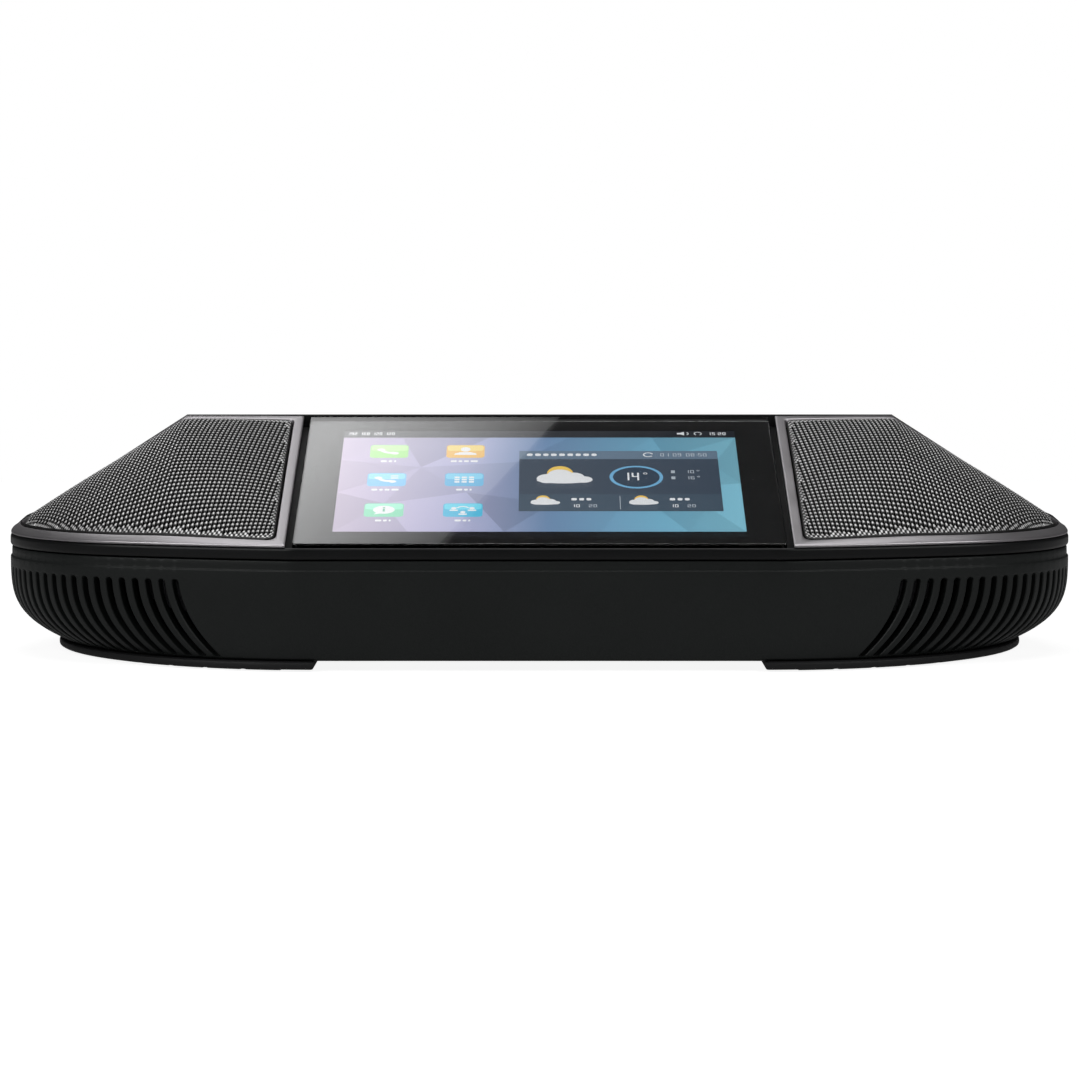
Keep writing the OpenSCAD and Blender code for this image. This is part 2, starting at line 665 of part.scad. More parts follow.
// Two-core lead from each board connector up to its speaker frame
wire_y = board_y + 13;
wire_top = 23.9;
module wire_pair(side) {
    color("#b02a24") on_side(side) for (k = [0, 1]) {
        translate([44, wire_y + 1.6 * k, chip_z + 1.4]) {
            cube([17.6, 1.2, 1.2]);
            translate([16.4, 0, 0]) cube([1.2, 1.2, wire_top - chip_z]);
            translate([16.4, 0, wire_top - chip_z]) cube([2.4, 1.2, 1.2]);
        }
    }
}
module left_wire_pair() {
    wire_pair(-1);
}
module right_wire_pair() {
    wire_pair(1);
}

antenna_x = 92;
antenna_y = rear - 40;
lead_y = antenna_y + 8;
module antennas() {
    color("#2e6b4a") for (sx = [-1, 1]) translate([sx * antenna_x - 0.5, antenna_y, floor_gap + cover_t])
        cube([1, 22, 12]);
}
module antenna_leads() {
    color("#d0d2d4") for (sx = [-1, 1]) on_side(sx) {
        translate([49.4, lead_y, board_z + 2.4]) rotate([0, 90, 0])
            cylinder(r = 0.6, h = antenna_x - 50);
        translate([46, lead_y, board_z + board_t]) cylinder(r = 1.3, h = 1.6);
        translate([46, lead_y, board_z + 2.4]) rotate([0, 90, 0]) cylinder(r = 0.6, h = 4);
    }
}

mic_sites = [for (x = [-36, 0, 36]) [x, front + 12]];
module microphones() {
    color("#c9ccd0") for (p = mic_sites) translate([p.x, p.y, 8]) cylinder(r = 3, h = 2.4);
}
module microphone_boots() {
    color("#151515") for (p = mic_sites) translate([p.x, p.y, floor_gap + cover_t]) difference() {
        cylinder(r = 4.4, h = 6.4);
        translate([0, 0, 3.8]) cylinder(r = 3, h = 4);
    }
}

// ---- feet ----

// Each front foot is a crescent plinth under its corner
foot_r = 67.5;
foot_c = [49.5, front + foot_r + 0.5];
foot_wide = 26;
module front_foot() {
    difference() {
        intersection() {
            translate([foot_c.x, foot_c.y, 0]) cylinder(r = foot_r, h = floor_gap - 0.02, $fn = 96);
            translate([51, front - 1, -1]) cube([80, foot_r + 1, 6]);
        }
        translate([foot_c.x - 4, foot_c.y + 6, -1])
            cylinder(r = foot_r - foot_wide, h = 6, $fn = 96);
        for (p = posts) translate([p.x, p.y, -1]) cylinder(r = 4, h = 6);
    }
}
module left_foot() {
    color("#111213") on_side(-1) front_foot();
}
module right_foot() {
    color("#111213") on_side(1) front_foot();
}
module rear_foot() {
    color("#111213") hull() for (sx = [-1, 1]) translate([sx * 36, rear - 22, 0])
        cylinder(r = 5, h = floor_gap - 0.02, $fn = 32);
}

// ---- fasteners ----

// A screw with its head down and its shank up
module screw(shank_r, shank_h, head_r, head_h) {
    difference() {
        union() {
            cylinder(r = head_r, h = head_h);
            translate([0, 0, head_h]) cylinder(r = shank_r, h = shank_h);
        }
        for (a = [0, 90]) rotate(a) translate([-head_r * 0.6, -0.25, -0.1])
            cube([head_r * 1.2, 0.5, head_h * 0.6]);
    }
}
module housing_screws() {
    color("#77797c") for (p = posts) translate([p.x, p.y, 3.2]) screw(pilot_r, 11, 2.7, 1.8);
}
module board_screws() {
    color("#b8babd") for (p = board_posts) translate([p.x, p.y, board_z + board_t + 1.4])
        mirror([0, 0, 1]) screw(0.98, 3.2, 2.2, 1.4);
}
module speaker_screws() {
    color("#b8babd") for (side = [-1, 1], a = [45:90:315])
        at_speaker(side, 1) rotate(a) translate([speaker_r + 1.4, 0, 0])
            mirror([0, 0, 1]) screw(0.88, 3.6, 2, 1);
}
module bracket_screws() {
    color("#b8babd") for (p = bracket_pads) on_deck(p.x, p.y, glass_t + 5.7)
        screw(0.88, 3.6, 2, 1);
}

upper_housing();
lower_housing();
bottom_cover();
cover_glass();
lcd_module();
display_bracket();
display_ribbon();
left_trim();
right_trim();
left_grille();
right_grille();
left_cloth();
right_cloth();
left_baffle();
right_baffle();
left_basket();
right_basket();
left_magnet();
right_magnet();
left_cone();
right_cone();
left_surround();
right_surround();
left_spider();
right_spider();
main_board();
processor();
memory_chips();
shield_can();
heat_spreader();
board_connectors();
port_panel();
lan_port();
pc_port();
power_jack();
audio_jack();
usb_port();
reset_button();
reset_switch();
left_wire_pair();
right_wire_pair();
antennas();
antenna_leads();
microphones();
microphone_boots();
left_foot();
right_foot();
rear_foot();
housing_screws();
board_screws();
speaker_screws();
bracket_screws();
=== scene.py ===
"""Looks of a conference phone: smooth housings, perforated grilles, lit display, ports and feet.

Lengths are in millimetres in the row frame until a mesh is made; MM turns them into metres."""

import math

import bmesh
import bpy
import numpy as np
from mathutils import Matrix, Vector
from mathutils.geometry import delaunay_2d_cdt


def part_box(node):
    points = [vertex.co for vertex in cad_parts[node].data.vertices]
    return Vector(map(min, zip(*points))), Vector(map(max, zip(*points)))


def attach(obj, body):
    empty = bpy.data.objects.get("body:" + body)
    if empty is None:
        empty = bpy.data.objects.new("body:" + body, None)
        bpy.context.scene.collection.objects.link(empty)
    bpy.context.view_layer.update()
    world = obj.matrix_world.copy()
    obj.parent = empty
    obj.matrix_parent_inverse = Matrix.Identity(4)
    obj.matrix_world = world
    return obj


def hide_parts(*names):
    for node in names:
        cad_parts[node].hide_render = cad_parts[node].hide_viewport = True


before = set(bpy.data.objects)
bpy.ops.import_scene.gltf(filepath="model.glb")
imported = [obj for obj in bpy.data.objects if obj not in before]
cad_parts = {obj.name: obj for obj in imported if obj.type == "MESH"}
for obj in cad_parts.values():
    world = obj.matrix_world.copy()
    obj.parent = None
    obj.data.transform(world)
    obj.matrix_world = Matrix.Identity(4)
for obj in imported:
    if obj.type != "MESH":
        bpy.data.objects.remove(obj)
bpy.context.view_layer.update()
MM = 0.001
scene = bpy.context.scene

# ---- body plan

shell_low, shell_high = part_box("lower_housing")
HALF_W = shell_high.x / MM
FRONT = shell_low.y / MM
REAR = shell_high.y / MM
RIDGE_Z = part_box("upper_housing")[1].z / MM
CREASE = 56.0  # half the straight part of the front edge
RIM_Z = 28.0  # top of the rim band
DECK_Z = 28.5  # front edge of the deck
PARTING = 25.4  # between the two housings
RIDGE_RUN = 68.0  # from the front edge back to the ridge
RIDGE_Y = FRONT + RIDGE_RUN
RIDGE_X = 86.0  # half the straight part of the ridge
TIP_Z = 29.0  # ridge height at the wing tips
DOME = 3.0  # swell of a wing
TILT = math.atan((RIDGE_Z - DECK_Z) / RIDGE_RUN)
WALL = 2.2
FLANK_TOP = 22.8  # the side wall curls in below this
FLOOR_Z = 2.2
FLOOR_IN = 2.2  # bottom edge, behind the front edge
FLOOR_CREASE = 50.0
TRIM_IN = 57.2
TRIM_W = 2.4


def out(a):
    """The outward normal of an edge with heading a."""
    return np.array([math.sin(math.radians(a)), -math.cos(math.radians(a))])


def chain(specs, start):
    """Arcs (centre, radius, first heading, last heading), each starting where the last one ends."""
    arcs, p = [], np.array(start, float)
    for r, a0, a1 in specs:
        c = p - r * out(a0)
        arcs.append((c, r, a0, a1))
        p = c + r * out(a1)
    return arcs


RIM = chain([(250, 12, 22), (47, 22, 90), (90, 90, 128), (34, 128, 180)], (CREASE, FRONT))
FLOOR = chain([(66, 0.5, 90), (68, 90, 128), (22, 128, 180)],
              (FLOOR_CREASE, FRONT + FLOOR_IN))
WIDEST_Y = RIM[2][0][1]


def lengths(path):
    return [r * math.radians(a1 - a0) for _, r, a0, a1 in path]


def along(path, s, inset=0.0):
    """The point that lies s along a chain of arcs."""
    last = len(path) - 1
    for i, ((c, r, a0, _), l) in enumerate(zip(path, lengths(path))):
        if s <= l or i == last:
            return c + (r - inset) * out(a0 + math.degrees(min(s, l) / r))
        s -= l


RIM_L = lengths(RIM)
FLOOR_L = lengths(FLOOR)
TOTAL = sum(RIM_L)
WIDEST_S = RIM_L[0] + RIM_L[1]
FLANK_S = WIDEST_S + RIM_L[2]
FIRST_SLOT = 28.0
MAP_S = [0, FIRST_SLOT, WIDEST_S, FLANK_S, TOTAL]
MAP_F = [0, 0.81 * FIRST_SLOT, FLOOR_L[0], FLOOR_L[0] + FLOOR_L[1], sum(FLOOR_L)]
CURL_S = [0, FIRST_SLOT, WIDEST_S - 25, WIDEST_S, FLANK_S, TOTAL]
CURL = [1.4, 2.2, 3.4, 3.6, 2.8, 2.0]
REAR_X = along(RIM, TOTAL)[0]
FLOOR_REAR = along(FLOOR, sum(FLOOR_L))
HALF_PLAN = CREASE + TOTAL + REAR_X


def rim_at(p, inset=0.0):
    """A point of the right half of the rim, p along it from the middle of the front."""
    if p < CREASE:
        return np.array([p, FRONT + inset])
    if p <= CREASE + TOTAL:
        return along(RIM, p - CREASE, inset)
    return np.array([HALF_PLAN - p, REAR - inset])


def floor_at(p, inset=0.0):
    if p < CREASE:
        return np.array([FLOOR_CREASE * p / CREASE, FRONT + FLOOR_IN + inset])
    if p <= CREASE + TOTAL:
        return along(FLOOR, float(np.interp(p - CREASE, MAP_S, MAP_F)), inset)
    return np.array([FLOOR_REAR[0] * (HALF_PLAN - p) / REAR_X, FLOOR_REAR[1] - inset])


def wall_at(p, z, inset=0.0):
    """A point of the curved side wall of the lower housing."""
    curl = float(np.interp(p - CREASE, CURL_S, CURL))
    share = max(0.0, (FLANK_TOP - z) / (FLANK_TOP - FLOOR_Z)) ** curl
    a = rim_at(p, inset)
    b = floor_at(p, inset)
    return np.array([*(a + (b - a) * share), z])


def arc_y(arcs, x, inset, side):
    """The rim's y at x on the inner one of two arcs, or past its end on the outer one."""
    (c, r, a0, a1), outer = arcs
    if x >= c[0] + r * math.sin(math.radians(a1 if side < 0 else a0)):
        c, r = outer[:2]
    r -= inset
    return c[1] + side * r * math.cos(math.asin(max(-1.0, min(1.0, (x - c[0]) / r))))


def front_y(x, inset=0.0):
    return FRONT + inset if abs(x) <= CREASE else arc_y(RIM[:2], abs(x), inset, -1)


def rear_y(x, inset=0.0):
    straight = abs(x) <= RIM[3][0][0]
    return REAR - inset if straight else arc_y(RIM[:1:-1], abs(x), inset, 1)


def fan(x):
    """Share of the way from the end of the straight ridge to the wing tip."""
    return max(0.0, (abs(x) - RIDGE_X) / (HALF_W - RIDGE_X))


def back_y(x):
    return RIDGE_Y + (WIDEST_Y - RIDGE_Y) * fan(x)


def back_z(x):
    return RIDGE_Z + (TIP_Z - RIDGE_Z) * fan(x)


def dome_of(x):
    """Swell of the deck over the wings: it rises and falls over 30 mm from each end."""
    rise, fall = (min(1, max(0, d) / 30) for d in (abs(x) - CREASE, HALF_W - abs(x)))
    return DOME * math.sin(math.pi / 2 * rise) * math.sin(math.pi / 2 * fall)


def deck_at(x, y):
    v = (y - front_y(x)) / max(0.01, back_y(x) - front_y(x))
    v = max(0.0, min(1.0, v))
    return DECK_Z + (back_z(x) - DECK_Z) * v + dome_of(x) * 4 * v * (1 - v)


def on_deck(x, run, height=0.0):
    """A point placed on the display plane, run up the slope from the front edge."""
    return (
        x,
        FRONT + run * math.cos(TILT) - height * math.sin(TILT),
        DECK_Z + run * math.sin(TILT) + height * math.cos(TILT),
    )


# ---- materials

WEAR = 0.08


def feed(tree, socket, value):
    """Sets a socket, or links it to an output or to the first output of a node."""
    if isinstance(value, bpy.types.Node):
        value = value.outputs[0]
    if isinstance(value, bpy.types.NodeSocket):
        tree.links.new(value, socket)
    else:
        socket.default_value = value


def add_node(tree, kind, **inputs):
    """A shader node; each word sets or links the input of that name, with _ for a space."""
    node = tree.nodes.new("ShaderNode" + kind)
    for word, value in inputs.items():
        feed(tree, node.inputs[word.replace("_", " ")], value)
    return node


def new_material(name):
    """A material, its tree, its shader and the part's own coordinates."""
    m = bpy.data.materials.new(name)
    m.use_nodes = True
    tree = m.node_tree
    place = add_node(tree, "TexCoord").outputs["Object"]
    return m, tree, tree.nodes["Principled BSDF"], place


def material(name, color, rough=0.5, metal=0.0, grain=(900, 0.05), mottle=0.12, coat=0.0,
             weave=None, brush=None, emission=None, specular=0.5):
    """A shader whose colour, gloss and relief come from noise in the part's own coordinates."""
    m, tree, shader, place = new_material(name)
    shader.inputs["Metallic"].default_value = metal
    shader.inputs["Coat Weight"].default_value = coat
    shader.inputs["Coat Roughness"].default_value = 0.12
    shader.inputs["Specular IOR Level"].default_value = specular
    broad = add_node(tree, "TexNoise", Vector=place, Scale=38, Detail=6)
    ramp = add_node(tree, "ValToRGB", Fac=broad)
    stops = ramp.color_ramp.elements
    for stop, at, share in ((stops[0], 0.3, 1 - mottle), (stops[1], 0.72, 1 + mottle)):
        stop.position = at
        stop.color = (*[min(1, c * share) for c in color], 1)
    feed(tree, shader.inputs["Base Color"], ramp)
    patch = add_node(tree, "TexNoise", Vector=place, Scale=120, Detail=4)
    gloss = add_node(tree, "MapRange", Value=patch, To_Min=max(0.02, rough - WEAR),
                     To_Max=min(1.0, rough + WEAR))
    feed(tree, shader.inputs["Roughness"], gloss)
    if weave is not None:
        height = add_node(tree, "Math")
        height.operation = "MAXIMUM"
        for bands, socket in zip("XY", height.inputs):
            wave = add_node(tree, "TexWave", Vector=place, Scale=weave, Distortion=0.6)
            wave.bands_direction = bands
            feed(tree, socket, wave.outputs["Fac"])
    else:
        drawn = add_node(tree, "Mapping", Vector=place, Scale=brush) if brush else place
        height = add_node(tree, "TexNoise", Vector=drawn, Scale=grain[0], Detail=3)
    bump = add_node(tree, "Bump", Height=height, Strength=grain[1], Distance=0.0002)
    feed(tree, shader.inputs["Normal"], bump)
    if emission is not None:
        shader.inputs["Emission Strength"].default_value = emission
        feed(tree, shader.inputs["Emission Color"], ramp)
    return m


def picture_material(name, stops, level=1.0):
    """Light of the display: colours change across the picture, with a fine pixel row pattern."""
    m, tree, shader, place = new_material(name)
    shader.inputs["Base Color"].default_value = (0.01, 0.01, 0.012, 1)
    shader.inputs["Roughness"].default_value = 0.5
    shader.inputs["Specular IOR Level"].default_value = 0.1
    apart = add_node(tree, "SeparateXYZ", Vector=place)
    across = add_node(tree, "MapRange", Value=apart, From_Min=-47 * MM, From_Max=47 * MM)
    ramp = add_node(tree, "ValToRGB", Fac=across)
    while len(ramp.color_ramp.elements) < len(stops):
        ramp.color_ramp.elements.new(0.5)
    for e, (at, c) in zip(ramp.color_ramp.elements, stops):
        e.position = at
        e.color = (*[v * level for v in c], 1)
    rows = add_node(tree, "TexWave", Vector=place, Scale=700)
    rows.bands_direction = "X"
    dim = add_node(tree, "MapRange", Value=rows.outputs["Fac"], To_Min=0.96, To_Max=1.0)
    feed(tree, shader.inputs["Emission Color"], ramp)
    feed(tree, shader.inputs["Emission Strength"], dim)
    return m


def glass_material():
    m, tree, shader, place = new_material("cover_glass_clear")
    shader.inputs["Base Color"].default_value = (0.98, 0.99, 1.0, 1)
    shader.inputs["Transmission Weight"].default_value = 1.0
    shader.inputs["IOR"].default_value = 1.5
    smudge = add_node(tree, "TexNoise", Vector=place, Scale=45, Detail=5)
    gloss = add_node(tree, "MapRange", Value=smudge, To_Min=0.0, To_Max=0.02)
    feed(tree, shader.inputs["Roughness"], gloss)
    return m


upper_plastic = material("upper_plastic", (0.0078, 0.0083, 0.0088), 0.38, grain=(2600, 0.10),
                         specular=0.3)
lower_plastic = material("lower_plastic", (0.0165, 0.0190, 0.0185), 0.44, grain=(2600, 0.12),
                         specular=0.3)
trim_metal = material("trim_metal", (0.52, 0.50, 0.52), 0.34, metal=0.85, mottle=0.03,
                      brush=(1, 60, 60))
grille_edge = material("grille_edge", (0.006, 0.006, 0.006), grain=(1800, 0.1))
speaker_cloth = material("speaker_cloth", (0.004, 0.004, 0.004), 0.95, weave=900,
                         grain=(900, 0.8), specular=0.1)
mask_ink = material("mask_ink", (0.002, 0.002, 0.0022), 0.6, grain=(1500, 0.02), specular=0.1)
foot_rubber = material("foot_rubber", (0.008, 0.008, 0.009), 0.55, grain=(1600, 0.3))
contact_gold = material("contact_gold", (0.95, 0.66, 0.25), 0.22, metal=1.0, grain=(1500, 0.1))
lead_sleeve = material("lead_sleeve", (0.5, 0.51, 0.52), 0.4, grain=(900, 0.1))
lamp_lens = material("lamp_lens", (0.12, 0.4, 0.12), 0.3)

# CAD nodes shown as they are, by what they are made of
CARRIED = (
    (material("cover_plastic", (0.016, 0.017, 0.017), 0.6, grain=(1800, 0.25)), "bottom_cover"),
    (material("inner_plastic", (0.014, 0.014, 0.015), 0.55, grain=(1500, 0.2)),
     "left_baffle right_baffle port_panel"),
    (material("jack_plastic", (0.011, 0.011, 0.012), 0.4, grain=(1500, 0.15)),
     "power_jack audio_jack"),
    (material("button_plastic", (0.12, 0.13, 0.14), 0.45, grain=(1500, 0.15)), "reset_button"),
    (material("nylon", (0.75, 0.7, 0.6), grain=(1200, 0.15)), "board_connectors"),
    (material("dark_rubber", (0.012, 0.012, 0.012), 0.6, grain=(1400, 0.3)),
     "left_surround right_surround microphone_boots"),
    (material("panel_glass", (0.05, 0.055, 0.065), 0.2, coat=0.4), "lcd_module"),
    (material("pressed_steel", (0.5, 0.51, 0.53), 0.32, metal=1.0, brush=(1, 80, 80),
              grain=(700, 0.15)), "display_bracket"),
    (material("plated_steel", (0.62, 0.63, 0.64), 0.24, metal=1.0, brush=(60, 1, 1),
              grain=(500, 0.1)), "shield_can lan_port pc_port usb_port reset_switch microphones"),
    (material("screw_steel", (0.5, 0.51, 0.53), 0.3, metal=1.0, grain=(1500, 0.2)),
     "housing_screws board_screws speaker_screws bracket_screws"),
    (material("magnet_iron", (0.09, 0.09, 0.1), 0.6, metal=0.4, grain=(1200, 0.5)),
     "left_magnet right_magnet"),
    (material("heat_metal", (0.6, 0.61, 0.62), 0.35, metal=1.0, brush=(1, 70, 70),
              grain=(600, 0.2)), "heat_spreader"),
    (material("basket_paint", (0.03, 0.03, 0.033), 0.4, grain=(1500, 0.3)),
     "left_basket right_basket"),
    (material("cone_paper", (0.02, 0.02, 0.022), 0.85, grain=(700, 0.7)), "left_cone right_cone"),
    (material("spider_weave", (0.42, 0.26, 0.1), 0.85, weave=700, grain=(700, 0.8)),
     "left_spider right_spider"),
    (material("board_resist", (0.012, 0.09, 0.035), 0.35, coat=0.3, grain=(420, 0.5), mottle=0.35),
     "main_board antennas"),
    (material("chip_epoxy", (0.012, 0.012, 0.013), grain=(1800, 0.3)), "processor memory_chips"),
    (material("ribbon_film", (0.5, 0.24, 0.05), 0.3, coat=0.3, brush=(160, 1, 1),
              grain=(20, 0.3)), "display_ribbon"),
    (material("wire_sleeve", (0.45, 0.03, 0.025), 0.4, grain=(900, 0.1)),
     "left_wire_pair right_wire_pair"),
    (lead_sleeve, "antenna_leads"),
)
BEVELLED = {"bottom_cover": 0.25, "port_panel": 0.2, "lan_port": 0.12, "pc_port": 0.12,
            "usb_port": 0.1, "power_jack": 0.15, "audio_jack": 0.15, "reset_button": 0.12,
            "main_board": 0.1, "heat_spreader": 0.1, "board_connectors": 0.15}

# ---- mesh helpers


def place_in_scene(name, data):
    obj = bpy.data.objects.new(name, data)
    scene.collection.objects.link(obj)
    return obj


def make(name, verts, faces, mat, replaces=(), slot=None, body="housing", smooth=32,
         tags=None):
    """A closed or open mesh in millimetres, welded, with outward normals and soft rounded parts."""
    mesh = bpy.data.meshes.new(name)
    mesh.from_pydata([tuple(float(c) * MM for c in v) for v in verts], [], faces)
    if tags:
        mesh.polygons.foreach_set("material_index", tags)
    bm = bmesh.new()
    bm.from_mesh(mesh)
    bmesh.ops.remove_doubles(bm, verts=bm.verts, dist=1e-7)
    bmesh.ops.dissolve_degenerate(bm, edges=bm.edges, dist=1e-8)
    bmesh.ops.recalc_face_normals(bm, faces=bm.faces)
    bm.to_mesh(mesh)
    bm.free()
    mesh.shade_smooth()
    mesh.set_sharp_from_angle(angle=math.radians(smooth))
    for m in mat if isinstance(mat, (list, tuple)) else [mat]:
        mesh.materials.append(m)
    obj = place_in_scene(name, mesh)
    even = obj.modifiers.new("even_flats", "WEIGHTED_NORMAL")
    even.keep_sharp = True
    even.weight = 90
    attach(obj, body)
    if replaces:
        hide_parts(*replaces)
    return obj


class Build:
    """Collects several solids into one piece."""

    def __init__(self):
        self.verts, self.faces, self.tags = [], [], []
        self.tag = 0

    def add(self, verts, faces):
        n = len(self.verts)
        self.verts += [tuple(v) for v in verts]
        self.faces += [tuple(i + n for i in f) for f in faces]
        self.tags += [self.tag] * len(faces)

    @staticmethod
    def band(n, m, count):
        """Faces between count pairs of the m rings, each of n points."""
        return [(i * n + j, i * n + (j + 1) % n, (i + 1) % m * n + (j + 1) % n, (i + 1) % m * n + j)
                for i in range(count) for j in range(n)]

    def rings(self, rows, caps=True):
        """Closed rings of equal length, joined one to the next, with flat ends."""
        n, m = len(rows[0]), len(rows)
        faces = self.band(n, m, m - 1)
        if caps:
            faces += [tuple(range(n)), tuple(range((m - 1) * n, m * n))]
        self.add([p for row in rows for p in row], faces)

    def torus(self, rows):
        """The same, with the last ring joined to the first."""
        n, m = len(rows[0]), len(rows)
        self.add([p for row in rows for p in row], self.band(n, m, m))

    def shell(self, outer, inner, holes=(), wrap=False):
        """A skin and its lining, row by column, open at the holes and closed round them."""
        rows, cols = len(outer), len(outer[0])
        size = rows * cols
        last = cols if wrap else cols - 1
        holes = set(holes)

        def at(r, c, lining=False):
            return r * cols + c % cols + (size if lining else 0)

        solid = {(r, c) for r in range(rows - 1) for c in range(last) if (r, c) not in holes}
        faces = []
        for r, c in sorted(solid):
            faces.append((at(r, c), at(r, c + 1), at(r + 1, c + 1), at(r + 1, c)))
            faces.append(tuple(i + size for i in reversed(faces[-1])))
            for dr, dc in ((-1, 0), (1, 0), (0, -1), (0, 1)):
                beside = (r + dr, (c + dc) % last if wrap else c + dc)
                if beside not in solid:
                    a = (r + max(dr, 0), c + max(dc, 0))
                    b = (a[0] + abs(dc), a[1] + abs(dr))
                    faces.append((at(*a), at(*b), at(*b, True), at(*a, True)))
        self.add([p for row in outer for p in row] + [p for row in inner for p in row], faces)

    def prism(self, outline, levels, place=lambda x, y, h: (x, y, h)):
        """An outline drawn in by each level's inset at that level's height."""
        self.rings([[place(x, y, h) for x, y in offset(outline, d)] for d, h in levels])

    def box(self, low, high, edge=0.1):
        """A block with broken edges."""
        (x0, y0, z0), (x1, y1, z1) = low, high
        outline = rounded_box(x0, y0, x1, y1, edge, 2)
        self.prism(outline, [(edge, z0), (0, z0 + edge), (0, z1 - edge), (edge, z1)])

    def piece(self, name, mat, **words):
        return make(name, self.verts, self.faces, mat, tags=self.tags, **words)


def offset(outline, d):
    """A closed outline moved inwards by d; it runs counter-clockwise."""
    p = np.array(outline, float)
    if abs(d) < 1e-9:
        return p
    before, after = np.roll(p, 1, 0), np.roll(p, -1, 0)
    t0 = (p - before) / np.maximum(1e-9, np.linalg.norm(p - before, axis=1))[:, None]
    t1 = (after - p) / np.maximum(1e-9, np.linalg.norm(after - p, axis=1))[:, None]
    n0 = np.stack([-t0[:, 1], t0[:, 0]], 1)
    n1 = np.stack([-t1[:, 1], t1[:, 0]], 1)
    m = n0 + n1
    m /= np.maximum(0.35, (m * m).sum(1) / 2)[:, None]
    return p + m * d


def rounded_box(x0, y0, x1, y1, r, n=5):
    pts = []
    for cx, cy, a in ((x1 - r, y0 + r, -90), (x1 - r, y1 - r, 0), (x0 + r, y1 - r, 90),
                      (x0 + r, y0 + r, 180)):
        for i in range(n + 1):
            t = math.radians(a + 90 * i / n)
            pts.append((cx + r * math.cos(t), cy + r * math.sin(t)))
    return pts


def circle(cx, cy, r, n=24, ry=None):
    ry = r if ry is None else ry
    return [(cx + r * math.cos(2 * math.pi * i / n), cy + ry * math.sin(2 * math.pi * i / n))
            for i in range(n)]


# ---- lower housing

SLOTS = 22
PITCH = 3.35
SLOT_W = 1.6
SLOT_LIP = 0.2
SLOT_TOP = 20.4
SLOT_LOW = 2.8
BAY_X = 47.3
BAY_LOW = 4.1
BAY_HIGH = 23.9


def lower_housing():
    # height and inset of each row, from the parting line down
    rows = [(25.1, 1.4), (25.1, 0.85), (25.02, 0.55), (24.8, 0.38), (BAY_HIGH, 0.35), (23.05, 0.35),
            (22.9, 0.27), (22.78, 0.08)]
    rows += [(z, 0.0) for z in (
        22.6, 21.7, 20.9, 20.58, SLOT_TOP, 20.3, 20.05, 19.6, 18.6, 17.3, 16.0, 14.6, 13.2, 11.8,
        10.5, 9.3, 8.2, 7.2, 6.3, 5.5, 4.8, BAY_LOW, 3.6, 3.3, 3.08, 2.92, 2.84, SLOT_LOW)]
    rows += [(2.73, 0.02), (2.5, 0.12), (2.3, 0.4), (2.2, 0.8)]
    heights = [z for z, _ in rows]
    top, low, bay_top, bay_low = map(heights.index, (SLOT_TOP, SLOT_LOW, BAY_HIGH, BAY_LOW))

    def slot_share(z):
        """Width of a slot at a height: full between its rounded ends."""
        near = min((SLOT_TOP - z), (z - SLOT_LOW) * 2.3) / (SLOT_W / 2)
        near = max(0.0, min(1.0, near))
        return max(0.42, math.sqrt(1 - (1 - near) ** 2))

    # columns of the right half: place, offset in slot widths, is it a slot edge
    cols = [(p, 0, 0) for p in (0, 9, 18, 27, 36, 45, 51, 54.6, 56.0, 57.4, 61, 66, 71, 76, 80.5)]
    slot_cols = []
    for i in range(SLOTS):
        c = CREASE + FIRST_SLOT + i * PITCH
        slot_cols.append(len(cols) + 1)
        cols += [(c, -1, 1), (c, -1, 2), (c, 1, 2), (c, 1, 1)]
    end = CREASE + FIRST_SLOT + (SLOTS - 1) * PITCH + 2.2
    cols += [(end + (CREASE + FLANK_S - end) * i / 12, 0, 0) for i in range(1, 13)]
    cols += [(CREASE + FLANK_S + (TOTAL - FLANK_S) * i / 18, 0, 0) for i in range(1, 19)]
    cols += [(HALF_PLAN - x, 0, 0) for x in (72, 62, 54, BAY_X, 36, 24, 12, 0)]
    bay_col = len(cols) - 5

    def column(spec, row, lining, side):
        p, sign, kind = spec
        z, inset = rows[row]
        if kind:
            p = p + sign * (SLOT_W / 2 * slot_share(z) + (SLOT_LIP if kind == 1 else 0))
        if lining:
            inset = WALL
            z = min(z, heights[0] - 0.04 * row) if row < 6 else z
            z = max(z, FLOOR_Z + 0.02 * (len(rows) - 1 - row))
        elif kind == 2 and top <= row <= low:
            inset += SLOT_LIP
        x, y, z = wall_at(p, z, inset)
        return side * x, y, z

    full = [(c, 1) for c in cols] + [(c, -1) for c in reversed(cols[1:-1])]
    outer = [[column(c, r, False, s) for c, s in full] for r in range(len(rows))]
    inner = [[column(c, r, True, s) for c, s in full] for r in range(len(rows))]
    n = len(full)
    holes = []
    for c in slot_cols:
        for r in range(top, low):
            holes += [(r, c), (r, n - c - 1)]
    for r in range(bay_top, bay_low):
        holes += [(r, c) for c in range(bay_col, n - bay_col)]
    b = Build()
    b.shell(outer, inner, holes, wrap=True)
    b.piece("lower_shell", lower_plastic, replaces=["lower_housing"], slot="housing_lower",
            smooth=40)


# ---- upper housing


def tip_spread(x0, x1, n):
    """Places from x0 to x1 that crowd towards x1."""
    return [x0 + (x1 - x0) * math.sin(math.radians(90 * i / n)) for i in range(1, n + 1)]


